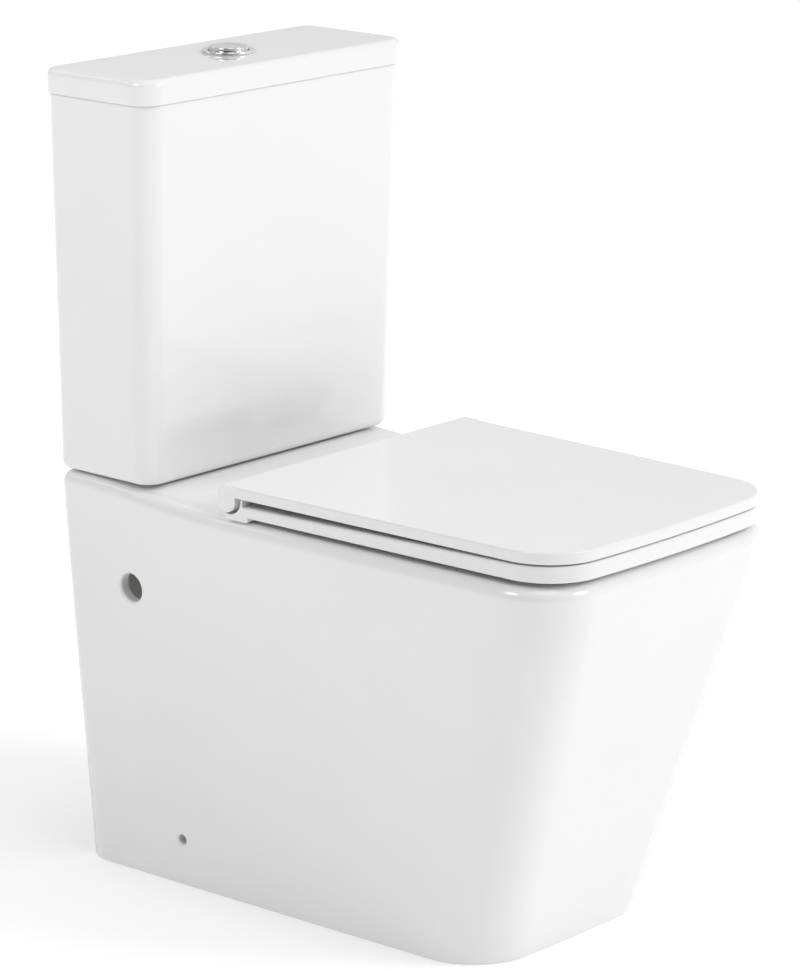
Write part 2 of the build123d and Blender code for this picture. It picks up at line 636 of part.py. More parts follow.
def main():
    """Build every part and write one STEP file for each."""
    os.makedirs("parts", exist_ok=True)
    for name, build in PARTS.items():
        shape = build()
        solids = shape.solids()
        print(name, len(solids), "solid(s)", round(sum(s.volume for s in solids) / 1000, 1), "cm3")
        export_step(Compound(children=list(solids)) if len(solids) > 1 else solids[0],
                    f"parts/{name}.step")


if __name__ == "__main__":
    main()
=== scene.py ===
"""Close coupled toilet: glazed pan and cistern, gloss seat, chrome buttons and the valves inside.

Lengths are millimetres while a shape is worked out and metres in Blender. A place is (x, w, z): x to
the side, w out from the wall, z above the floor.
"""

import sys

import logging
import math
from dataclasses import dataclass, field, replace
from enum import Enum
from typing import Any, Callable, Iterable, Sequence

import bmesh
import bpy
import numpy as np
from mathutils import Matrix, Vector

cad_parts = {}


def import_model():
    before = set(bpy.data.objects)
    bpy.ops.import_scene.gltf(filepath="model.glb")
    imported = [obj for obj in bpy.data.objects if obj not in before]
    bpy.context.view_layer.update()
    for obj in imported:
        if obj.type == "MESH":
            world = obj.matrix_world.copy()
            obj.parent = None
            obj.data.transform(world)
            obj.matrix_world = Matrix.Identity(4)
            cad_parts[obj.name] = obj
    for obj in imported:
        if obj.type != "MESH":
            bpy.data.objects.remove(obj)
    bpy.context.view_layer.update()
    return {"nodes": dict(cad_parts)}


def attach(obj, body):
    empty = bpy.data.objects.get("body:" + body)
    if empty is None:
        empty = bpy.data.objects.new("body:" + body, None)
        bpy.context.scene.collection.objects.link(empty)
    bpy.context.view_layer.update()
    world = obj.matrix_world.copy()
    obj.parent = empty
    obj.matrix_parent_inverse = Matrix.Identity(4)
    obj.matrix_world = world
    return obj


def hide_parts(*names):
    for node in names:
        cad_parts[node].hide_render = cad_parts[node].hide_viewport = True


LOG = logging.getLogger("toilet")
MM = 0.001
# overall depth, heights of the deck and rim, and where the hinge's axis and the valve stand
DEPTH = 658.0
Z_DECK = 424.0
Z_RIM = 414.5
W_AXIS = 239.0
Z_AXIS = 434.0
W_VALVE = 72.0
INLET = (-125.0, 68.0, 0.0)
VALVE = (0.0, W_VALVE, 0.0)
CISTERN_BOLT_X = 80.0
HINGE_STUD_X = 77.5
HINGE_AXIS = (0.0, W_AXIS, Z_AXIS)

Row = np.ndarray
Link = Any


# ---------------------------------------------------------------- shader nodes


class Socket:
    """An output socket that can be used in arithmetic; each operator adds a Math node."""

    def __init__(self, paint: "Mixer", link: Link) -> None:
        """Keep the socket and the paint whose node tree it lives in.

        Args:
            paint: the paint being mixed.
            link: the Blender output socket.
        """
        self.paint = paint
        self.link = link

    def _math(self, operation: str, *values: Any) -> "Socket":
        """Add a Math node to work out one operation on sockets or numbers."""
        return self.paint.node("ShaderNodeMath", {"operation": operation}, dict(enumerate(values)))

    def __add__(self, other: Any) -> "Socket":
        """Return this plus other."""
        return self._math("ADD", self, other)

    __radd__ = __add__

    def __sub__(self, other: Any) -> "Socket":
        """Return this minus other."""
        return self._math("SUBTRACT", self, other)

    def __rsub__(self, other: Any) -> "Socket":
        """Return other minus this."""
        return self._math("SUBTRACT", other, self)

    def __mul__(self, other: Any) -> "Socket":
        """Return this times other."""
        return self._math("MULTIPLY", self, other)

    __rmul__ = __mul__

    def __pow__(self, other: Any) -> "Socket":
        """Return this to the power of other."""
        return self._math("POWER", self, other)

    def between(self, low: float, high: float) -> "Socket":
        """Stretch low..high to 0..1, eased at both ends.

        Args:
            low: the value that becomes 0.
            high: the value that becomes 1.

        Returns:
            The stretched value.
        """
        settings = {"interpolation_type": "SMOOTHSTEP"}
        inputs = {"Value": self, "From Min": low, "From Max": high}
        return self.paint.node("ShaderNodeMapRange", settings, inputs)


class Mixer:
    """A node tree that is filled from code."""

    def __init__(self, tree: Any, place: str) -> None:
        """Empty the tree and add its coordinates.

        Args:
            tree: the node tree.
            place: which coordinates its patterns follow.
        """
        self.tree = tree
        self.tree.nodes.clear()
        self.place = self.node("ShaderNodeTexCoord", {}, {}, place)

    def node(self, kind: str, settings: dict[str, Any], inputs: dict[Any, Any],
             output: Any = 0) -> Socket:
        """Add a node.

        Args:
            kind: the node's type.
            settings: its properties, set before its sockets.
            inputs: values or links, by socket name or number.
            output: which output is wanted, by name or number.

        Returns:
            That output.
        """
        made = self.tree.nodes.new(kind)
        for key, value in settings.items():
            setattr(made, key, value)
        for key, value in inputs.items():
            if isinstance(value, Socket):
                self.tree.links.new(value.link, made.inputs[key])
            else:
                made.inputs[key].default_value = value
        return Socket(self, made.outputs[output])

    def close(self, surface: Socket, kind: str) -> None:
        """Link a shader to the tree's output node."""
        end = self.tree.nodes.new(kind)
        self.tree.links.new(surface.link, end.inputs["Surface"])


class Paint(Mixer):
    """One material and its node tree, with patterns fixed to the object."""

    def __init__(self, name: str) -> None:
        """Start a material.

        Args:
            name: the material's name.
        """
        self.material = bpy.data.materials.new(name)
        self.material.use_nodes = True
        super().__init__(self.material.node_tree, "Object")

    def noise(self, scale: float, detail: float = 3.0, stretch: Sequence[float] = (1, 1, 1)) -> Socket:
        """Add a noise pattern fixed to the object.

        Args:
            scale: pattern repeats in a metre.
            detail: how much fine detail it has.
            stretch: how much each axis is scaled first.

        Returns:
            The noise value, about 0.5 on average.
        """
        moved = self.node("ShaderNodeVectorMath", {"operation": "MULTIPLY"},
                          {0: self.place, 1: tuple(stretch)})
        return self.node("ShaderNodeTexNoise", {}, {"Vector": moved, "Scale": scale, "Detail": detail})

    def mix(self, amount: Any, first: Any, second: Any) -> Socket:
        """Mix two colours.

        Args:
            amount: 0 for the first, 1 for the second.
            first: a colour or a link.
            second: a colour or a link.

        Returns:
            The mixed colour.
        """
        def full(colour: Any) -> Any:
            """Return the colour with an alpha of one unless it is a link."""
            return colour if isinstance(colour, Socket) else (*colour, 1.0)

        return self.node("ShaderNodeMix", {"data_type": "RGBA"},
                         {0: amount, 6: full(first), 7: full(second)}, 2)

    def bump(self, height: Socket, strength: float, distance: float) -> Socket:
        """Add a bump.

        Args:
            height: what raises the surface.
            strength: how strongly it shows.
            distance: its real depth in metres.

        Returns:
            The bent normal.
        """
        inputs = {"Height": height, "Strength": strength, "Distance": distance}
        return self.node("ShaderNodeBump", {}, inputs, "Normal")

    def shine(self, **inputs: Any) -> bpy.types.Material:
        """Close the material with its surface shader.

        Args:
            inputs: the shader's sockets, with underscores for spaces.

        Returns:
            The material.
        """
        named = {}
        for key, value in inputs.items():
            if isinstance(value, tuple) and len(value) == 3:
                value = (*value, 1.0)
            named[key.replace("_", " ")] = value
        self.close(self.node("ShaderNodeBsdfPrincipled", {}, named), "ShaderNodeOutputMaterial")
        return self.material


# ---------------------------------------------------------------- finishes


@dataclass(frozen=True)
class Glaze:
    """Fired white glaze: deep gloss, faint pooling and a barely rippled surface."""

    name: str = "white_glaze"
    body: tuple[float, float, float] = (0.875, 0.875, 0.872)
    pooled: tuple[float, float, float] = (0.855, 0.858, 0.857)
    roughness: float = 0.07
    ripple: float = 0.05

    def make(self) -> bpy.types.Material:
        """Return the glaze's material."""
        paint = Paint(self.name)
        cloud = paint.noise(7.0, 4.0).between(0.35, 0.7)
        speck = paint.noise(900.0, 2.0).between(0.70, 0.78)
        base = paint.mix(cloud * 0.8 + speck * 0.2, self.body, self.pooled)
        rough = self.roughness + cloud * 0.03 + speck * 0.05
        wave = paint.noise(38.0, 2.0) + paint.noise(260.0, 2.0) * 0.06
        normal = paint.bump(wave, self.ripple, 0.0012)
        return paint.shine(Base_Color=base, Roughness=rough, Normal=normal,
                           IOR=1.52, Coat_Weight=0.35, Coat_Roughness=0.03)


@dataclass(frozen=True)
class BareClay:
    """Fired clay with only a thin wash of glaze, inside the foot and behind the bowl."""

    name: str = "thin_glazed_clay"

    def make(self) -> bpy.types.Material:
        """Return the clay's material."""
        paint = Paint(self.name)
        grain = paint.noise(420.0, 5.0)
        blot = paint.noise(14.0, 3.0).between(0.4, 0.65)
        base = paint.mix(blot, (0.74, 0.735, 0.72), (0.66, 0.65, 0.625))
        normal = paint.bump(grain, 0.35, 0.0006)
        return paint.shine(Base_Color=base, Roughness=0.45 + grain * 0.2, Normal=normal)


@dataclass(frozen=True)
class SeatPlastic:
    """Hard gloss white seat moulding with a faint orange peel."""

    name: str = "seat_gloss_white"
    colour: tuple[float, float, float] = (0.87, 0.87, 0.867)
    shade: tuple[float, float, float] = (0.855, 0.858, 0.858)

    def make(self) -> bpy.types.Material:
        """Return the plastic's material."""
        paint = Paint(self.name)
        flow = paint.noise(9.0, 2.0, (1.0, 0.35, 1.0)).between(0.3, 0.7)
        peel = paint.noise(700.0, 2.0)
        rub = paint.noise(60.0, 5.0, (0.3, 1.0, 1.0)).between(0.6, 0.8)
        base = paint.mix(flow, self.colour, self.shade)
        normal = paint.bump(peel + paint.noise(30.0, 1.0) * 0.6, 0.04, 0.0006)
        return paint.shine(Base_Color=base, Roughness=0.10 + rub * 0.05 + peel * 0.03,
                           Normal=normal, IOR=1.5)


@dataclass(frozen=True)
class Moulded:
    """Satin moulded plastic for the valves, nuts and rods."""

    name: str
    colour: tuple[float, float, float]
    shade: tuple[float, float, float]

    def make(self) -> bpy.types.Material:
        """Return the plastic's material."""
        paint = Paint(self.name)
        grain = paint.noise(800.0, 3.0)
        flow = paint.noise(40.0, 3.0, (1.0, 1.0, 0.2)).between(0.35, 0.7)
        base = paint.mix(flow, self.colour, self.shade)
        normal = paint.bump(grain, 0.25, 0.0003)
        return paint.shine(Base_Color=base, Roughness=0.34 + grain * 0.14, Normal=normal)


class Plating(Enum):
    """The metals used, with colour, base roughness and how drawn out their fine lines are."""

    CHROME = ("bright_chrome", (0.80, 0.81, 0.83), 0.05, (1.0, 1.0, 1.0))
    STAINLESS = ("drawn_stainless", (0.58, 0.58, 0.585), 0.26, (1.0, 1.0, 0.06))
    BRASS = ("turned_brass", (0.70, 0.50, 0.22), 0.24, (1.0, 1.0, 0.15))


@dataclass(frozen=True)
class Metal:
    """A plated or bare metal with fine lines and handling marks."""

    plating: Plating

    def make(self) -> bpy.types.Material:
        """Return the metal's material."""
        name, colour, rough, stretch = self.plating.value
        paint = Paint(name)
        line = paint.noise(1500.0, 2.0, stretch)
        smear = paint.noise(90.0, 4.0).between(0.5, 0.75)
        worn = tuple(0.93 * c for c in colour)
        base = paint.mix(smear, colour, worn)
        normal = paint.bump(line, 0.04 if rough < 0.1 else 0.2, 0.0002)
        return paint.shine(Base_Color=base, Metallic=1.0, Normal=normal,
                           Roughness=rough + smear * 0.05 + line * 0.04)


@dataclass(frozen=True)
class Rubber:
    """Moulded rubber, dusty where it is raised."""

    name: str
    colour: tuple[float, float, float]
    dusty: tuple[float, float, float]

    def make(self) -> bpy.types.Material:
        """Return the rubber's material."""
        paint = Paint(self.name)
        dust = paint.noise(220.0, 5.0).between(0.45, 0.75)
        grain = paint.noise(1600.0, 2.0)
        base = paint.mix(dust, self.colour, self.dusty)
        normal = paint.bump(grain + dust * 0.4, 0.3, 0.0003)
        return paint.shine(Base_Color=base, Roughness=0.55 + dust * 0.2, Normal=normal)


class Finishes:
    """Every material of the toilet, made once and handed out by name."""

    def __init__(self) -> None:
        """Make the materials."""
        self.glaze = Glaze().make()
        self.clay = BareClay().make()
        self.seat = SeatPlastic().make()
        self.white = Moulded("satin_white_plastic", (0.72, 0.73, 0.72), (0.66, 0.675, 0.67)).make()
        self.blue = Moulded("satin_blue_plastic", (0.05, 0.16, 0.36), (0.04, 0.13, 0.31)).make()
        self.chrome = Metal(Plating.CHROME).make()
        self.steel = Metal(Plating.STAINLESS).make()
        self.brass = Metal(Plating.BRASS).make()
        self.black = Rubber("black_rubber", (0.018, 0.018, 0.019), (0.05, 0.05, 0.05)).make()
        self.grey = Rubber("pale_grey_rubber", (0.50, 0.51, 0.51), (0.58, 0.59, 0.59)).make()


# ---------------------------------------------------------------- shapes


def smooth_curve(at: Row, stops: Row, values: Row) -> Row:
    """Interpolate smoothly through the stops.

    Args:
        at: where the values are wanted.
        stops: rising positions of the known values.
        values: the known values, one row for each stop.

    Returns:
        One row for each place.
    """
    slopes = np.gradient(values, stops, axis=0)
    index = np.clip(np.searchsorted(stops, at) - 1, 0, len(stops) - 2)
    span = stops[index + 1] - stops[index]
    t = np.clip((at - stops[index]) / span, 0, 1)
    if values.ndim > 1:
        t, span = t[:, None], span[:, None]
    a, b, c, d = values[index], values[index + 1], slopes[index] * span, slopes[index + 1] * span
    return ((2 * t**3 - 3 * t**2 + 1) * a + (t**3 - 2 * t**2 + t) * c
            + (3 * t**2 - 2 * t**3) * b + (t**3 - t**2) * d)


@dataclass(frozen=True)
class Plan:
    """A plan outline, the same on both sides, with rounded corners."""

    back: float
    front: float
    halves: tuple[float, float, float]
    back_r: float
    front_r: float
    bulge: float = 0.0

    def side(self, w: float) -> tuple[Row, Row]:
        """Return the side line's point and outward normal at a distance from the wall.

        Args:
            w: the distance from the wall.

        Returns:
            The point (x, w) and its normal.
        """
        w0, w2 = self.back, self.front - self.bulge
        w1 = (w0 + w2) / 2
        h0, h1, h2 = self.halves
        curve = np.poly1d(np.polyfit([w0, w1, w2], [h0, h1, h2], 2))
        normal = np.array([1.0, -curve.deriv()(w)])
        return np.array([curve(w), w]), normal / np.linalg.norm(normal)

    def _front(self, x: float) -> tuple[Row, Row]:
        """Return the front line's point and outward normal.

        Args:
            x: the distance to the side.

        Returns:
            The point (x, w) and its normal.
        """
        k = self.bulge / self.halves[2] ** 2
        normal = np.array([2 * k * x, 1.0])
        return np.array([x, self.front - k * x * x]), normal / np.linalg.norm(normal)

    def _back(self, x: float) -> tuple[Row, Row]:
        """Return the back line's point and outward normal."""
        return np.array([x, self.back]), np.array([0.0, -1.0])

    @staticmethod
    def _corner(first: Callable[[float], tuple[Row, Row]], second: Callable[[float], tuple[Row, Row]],
                start: tuple[float, float], radius: float) -> tuple[float, float]:
        """Find where an arc touches two lines.

        Args:
            first: the first line, giving a point and a normal.
            second: the second line.
            start: a guess for the place along each.
            radius: the arc's radius.

        Returns:
            The place along each line.
        """
        def miss(a: float, b: float) -> Row:
            """Return how far apart the two lines' arc centres are."""
            (p, n), (q, m) = first(a), second(b)
            return (p - radius * n) - (q - radius * m)

        a, b = start
        for _ in range(8):
            here = miss(a, b)
            step = np.column_stack([miss(a + 0.01, b) - here, miss(a, b + 0.01) - here]) / 0.01
            a, b = np.array([a, b]) - np.linalg.solve(step, here)
        return float(a), float(b)

    def half(self, counts: Sequence[int]) -> tuple[Row, Row]:
        """Walk the right half from the middle of the back to the middle of the front.

        Args:
            counts: steps along the back, back corner, side, front corner and front.

        Returns:
            The points and their outward normals.
        """
        w_low, x_back = self._corner(self.side, self._back,
                                     (self.back + self.back_r, self.halves[0] - self.back_r), self.back_r)
        w_high, x_front = self._corner(self.side, self._front,
                                       (self.front - self.front_r, self.halves[2] - self.front_r),
                                       self.front_r)
        walk = [self._back(x) for x in np.linspace(0, x_back, counts[0], endpoint=False)]
        walk += self._arc(self._back(x_back), self.side(w_low), self.back_r, counts[1])
        walk += [self.side(w) for w in np.linspace(w_low, w_high, counts[2], endpoint=False)]
        walk += self._arc(self.side(w_high), self._front(x_front), self.front_r, counts[3])
        walk += [self._front(x) for x in np.linspace(x_front, 0, counts[4] + 1)]
        return np.array([p for p, _ in walk]), np.array([n for _, n in walk])

    @staticmethod
    def _arc(start: tuple[Row, Row], end: tuple[Row, Row], radius: float,
             count: int) -> list[tuple[Row, Row]]:
        """Walk round a corner, its end left off.

        Args:
            start: the point and normal where it starts.
            end: the point and normal where it ends.
            radius: the corner's radius.
            count: how many points it has.

        Returns:
            The points and their normals.
        """
        centre = start[0] - radius * start[1]
        a0, a1 = (math.atan2(n[1], n[0]) for n in (start[1], end[1]))
        turn = (a1 - a0 + math.pi) % (2 * math.pi) - math.pi
        walk = []
        for k in range(count):
            angle = a0 + turn * k / count
            normal = np.array([math.cos(angle), math.sin(angle)])
            walk.append((centre + radius * normal, normal))
        return walk

    def loop(self, inset: float = 0.0, counts: Sequence[int] = (14, 12, 60, 28, 20)) -> Row:
        """Return the closed outline, moved inwards by the inset.

        Args:
            inset: how far it is moved in.
            counts: steps along the back, back corner, side, front corner and front.

        Returns:
            Points (x, w), each once.
        """
        points, normals = self.half(counts)
        right = points - inset * normals
        left = right[-2:0:-1] * np.array([-1.0, 1.0])
        return np.vstack([right, left])


def level(loop: Row, z: Any) -> Row:
    """Lift a plan loop to a height, or to a height for each point.

    Args:
        loop: points (x, w).
        z: one height, or one for each point.

    Returns:
        Points (x, w, z).
    """
    return np.column_stack([loop, np.broadcast_to(z, len(loop))])


def ellipse_like(loop: Row, centre: float, half: float, reach: float) -> Row:
    """Return an ellipse whose points lie in the same directions as a loop's.

    Args:
        loop: the loop whose point order is followed.
        centre: distance of the ellipse's middle from the wall.
        half: its half width.
        reach: its half length.

    Returns:
        Points (x, w).
    """
    angle = np.arctan2((loop[:, 1] - centre) / reach, loop[:, 0] / half)
    return np.column_stack([half * np.cos(angle), centre + reach * np.sin(angle)])


def place(points: Row) -> Row:
    """Turn (x, w, z) in millimetres into Blender's (x, y, z) in metres."""
    points = np.asarray(points, float)
    return np.column_stack([points[:, 0], DEPTH / 2 - points[:, 1], points[:, 2]]) * MM


def new_object(name: str, points: Row, faces: Iterable[Sequence[int]]) -> bpy.types.Object:
    """Make a mesh object with its normals facing out.

    Args:
        name: the object's name.
        points: (x, w, z) in millimetres.
        faces: the point numbers of each face.

    Returns:
        The object.
    """
    mesh = bpy.data.meshes.new(name)
    mesh.from_pydata([tuple(p) for p in place(points)], [], [tuple(f) for f in faces])
    tidy = bmesh.new()
    tidy.from_mesh(mesh)
    bmesh.ops.recalc_face_normals(tidy, faces=tidy.faces)
    if tidy.calc_volume(signed=True) < 0:
        bmesh.ops.reverse_faces(tidy, faces=tidy.faces)
    tidy.to_mesh(mesh)
    tidy.free()
    made = bpy.data.objects.new(name, mesh)
    bpy.context.scene.collection.objects.link(made)
    return made


def skin(name: str, rings: Sequence[Row], endless: bool = False) -> bpy.types.Object:
    """Join rings of points into a closed surface.

    Args:
        name: the object's name.
        rings: closed rings with the same number of points.
        endless: whether the last ring joins the first; otherwise both ends are capped.

    Returns:
        The object.
    """
    count = len(rings[0])
    faces: list[Sequence[int]] = []
    steps = len(rings) if endless else len(rings) - 1
    for i in range(steps):
        a, b = i * count, ((i + 1) % len(rings)) * count
        for j in range(count):
            k = (j + 1) % count
            faces.append((a + j, a + k, b + k, b + j))
    if not endless:
        faces.append(tuple(range(count)))
        faces.append(tuple(range((len(rings) - 1) * count, len(rings) * count)))
    return new_object(name, np.vstack(rings), faces)


def turned(name: str, profile: Sequence[tuple[float, float]], centre: tuple[float, float, float],
           axis: str = "z", steps: int = 64) -> bpy.types.Object:
    """Turn a closed profile round an axis.

    Args:
        name: the object's name.
        profile: (radius, distance along the axis) points; a radius of 0 closes an end.
        centre: (x, w, z) of the profile's zero.
        axis: "x", "w" or "z".
        steps: points round the axis.

    Returns:
        The object.
    """
    angles = np.linspace(0, 2 * math.pi, steps, endpoint=False)
    rings = []
    for radius, along in profile:
        a, b = max(radius, 0.05) * np.cos(angles), max(radius, 0.05) * np.sin(angles)
        c = np.full(steps, along)
        columns = {"z": (a, b, c), "x": (c, a, b), "w": (a, c, b)}[axis]
        rings.append(np.column_stack(columns) + np.array(centre))
    endless = profile[0][0] > 0 and profile[-1][0] > 0
    return skin(name, rings, endless)


def prism(name: str, profile: Sequence[tuple[float, float]], x0: float, x1: float) -> bpy.types.Object:
    """Pull a side profile straight across the toilet.

    Args:
        name: the object's name.
        profile: (w, z) points round the profile.
        x0: where it starts.
        x1: where it ends.

    Returns:
        The object.
    """
    side = np.array(profile, float)
    ends = [np.column_stack([np.full(len(side), x), side]) for x in (x0, x1)]
    return skin(name, ends)


def arc(w: float, z: float, radius: float, start: float, end: float, steps: int) -> list[tuple[float, float]]:
    """Return points (w, z) of an arc; 0 degrees is towards the front and 90 is up."""
    return [(w + radius * math.cos(math.radians(a)), z + radius * math.sin(math.radians(a)))
            for a in np.linspace(start, end, steps)]


def sweep(start: float, end: float, count: int) -> list[tuple[float, float]]:
    """Return the sine and cosine of evenly spaced angles, given in degrees."""
    return [(math.sin(a), math.cos(a)) for a in np.radians(np.linspace(start, end, count))]


def span(side: int, near: float, far: float) -> tuple[float, float]:
    """Return two places across the toilet in rising order; side is 1 for the right, -1 for the left."""
    low, high = sorted((near * side, far * side))
    return low, high


def rod(radius: float, start: float, end: float, centre: tuple[float, float, float],
        axis: str = "z", steps: int = 64) -> bpy.types.Object:
    """Make a plain round rod, for drilling.

    Args:
        radius: its radius.
        start: where it starts along its axis.
        end: where it ends.
        centre: (x, w, z) that its ends are measured from.
        axis: "x", "w" or "z".
        steps: points round it.

    Returns:
        The rod.
    """
    return turned("rod", [(0, start), (radius, start), (radius, end), (0, end)], centre, axis, steps)


def tube_rings(path: Row, radius: float, steps: int = 48) -> list[Row]:
    """Return rings round a path that stays on the middle plane.

    Args:
        path: points (w, z).
        radius: the tube's radius.
        steps: points round it.

    Returns:
        The rings.
    """
    ways = np.gradient(path, axis=0)
    ways /= np.linalg.norm(ways, axis=1)[:, None]
    angles = np.linspace(0, 2 * math.pi, steps, endpoint=False)
    rings = []
    for (w, z), (dw, dz) in zip(path, ways):
        across, up = radius * np.cos(angles), radius * np.sin(angles)
        rings.append(np.column_stack([across, w - dz * up, z + dw * up]))
    return rings


class Cut(Enum):
    """How one solid is combined with another."""

    AWAY = "DIFFERENCE"
    JOIN = "UNION"
    KEEP = "INTERSECT"


def combine(target: bpy.types.Object, how: Cut, *tools: bpy.types.Object) -> bpy.types.Object:
    """Cut, join or keep parts of a solid, and throw the tools away.

    Args:
        target: the solid that is changed.
        how: what is done.
        tools: the other solids.

    Returns:
        The target.
    """
    for tool in tools:
        step = target.modifiers.new("step", "BOOLEAN")
        step.operation = how.value
        step.object = tool
        step.solver = "EXACT"
        bake_modifiers(target)
        bpy.data.objects.remove(tool)
    return target


def bake_modifiers(target: bpy.types.Object) -> None:
    """Turn an object's modifiers into plain mesh.

    Args:
        target: the object.
    """
    graph = bpy.context.evaluated_depsgraph_get()
    mesh = bpy.data.meshes.new_from_object(target.evaluated_get(graph))
    target.modifiers.clear()
    old = target.data
    target.data = mesh
    bpy.data.meshes.remove(old)


def ease_edges(target: bpy.types.Object, width: float, angle: float = 40.0, segments: int = 3) -> None:
    """Round the sharp edges of a solid.

    Args:
        target: the solid.
        width: how far the rounding reaches, in millimetres.
        angle: edges sharper than this are rounded.
        segments: steps in each rounding.
    """
    bevel = target.modifiers.new("ease", "BEVEL")
    bevel.width = width * MM
    bevel.segments = segments
    bevel.limit_method = "ANGLE"
    bevel.angle_limit = math.radians(angle)
    bevel.use_clamp_overlap = True
    bake_modifiers(target)


def clean(target: bpy.types.Object) -> None:
    """Merge doubled points and drop faces with no area.

    Args:
        target: the object.
    """
    work = bmesh.new()
    work.from_mesh(target.data)
    bmesh.ops.remove_doubles(work, verts=work.verts, dist=0.02 * MM)
    bmesh.ops.dissolve_degenerate(work, dist=0.01 * MM, edges=work.edges)
    bmesh.ops.recalc_face_normals(work, faces=work.faces)
    work.to_mesh(target.data)
    work.free()


def dress(target: bpy.types.Object, material: bpy.types.Material, body: str,
          stands_for: Sequence[str] = (), sharp: float = 38.0) -> bpy.types.Object:
    """Give a finished piece its material, its body and the CAD nodes that it stands for.

    Args:
        target: the piece.
        material: its finish.
        body: the CAD body that it moves with.
        stands_for: CAD nodes that it replaces.
        sharp: edges sharper than this angle stay crisp.

    Returns:
        The piece.
    """
    mesh = target.data
    mesh.materials.clear()
    mesh.materials.append(material)
    mesh.polygons.foreach_set("use_smooth", [True] * len(mesh.polygons))
    mesh.polygons.foreach_set("material_index", [0] * len(mesh.polygons))
    mesh.set_sharp_from_angle(angle=math.radians(sharp))
    even = target.modifiers.new("even_shading", "WEIGHTED_NORMAL")
    even.keep_sharp = True
    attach(target, body)
    if stands_for:
        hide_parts(*stands_for)
    LOG.info("%s: %d faces on %s", target.name, len(mesh.polygons), body)
    return target


# ---------------------------------------------------------------- the pan


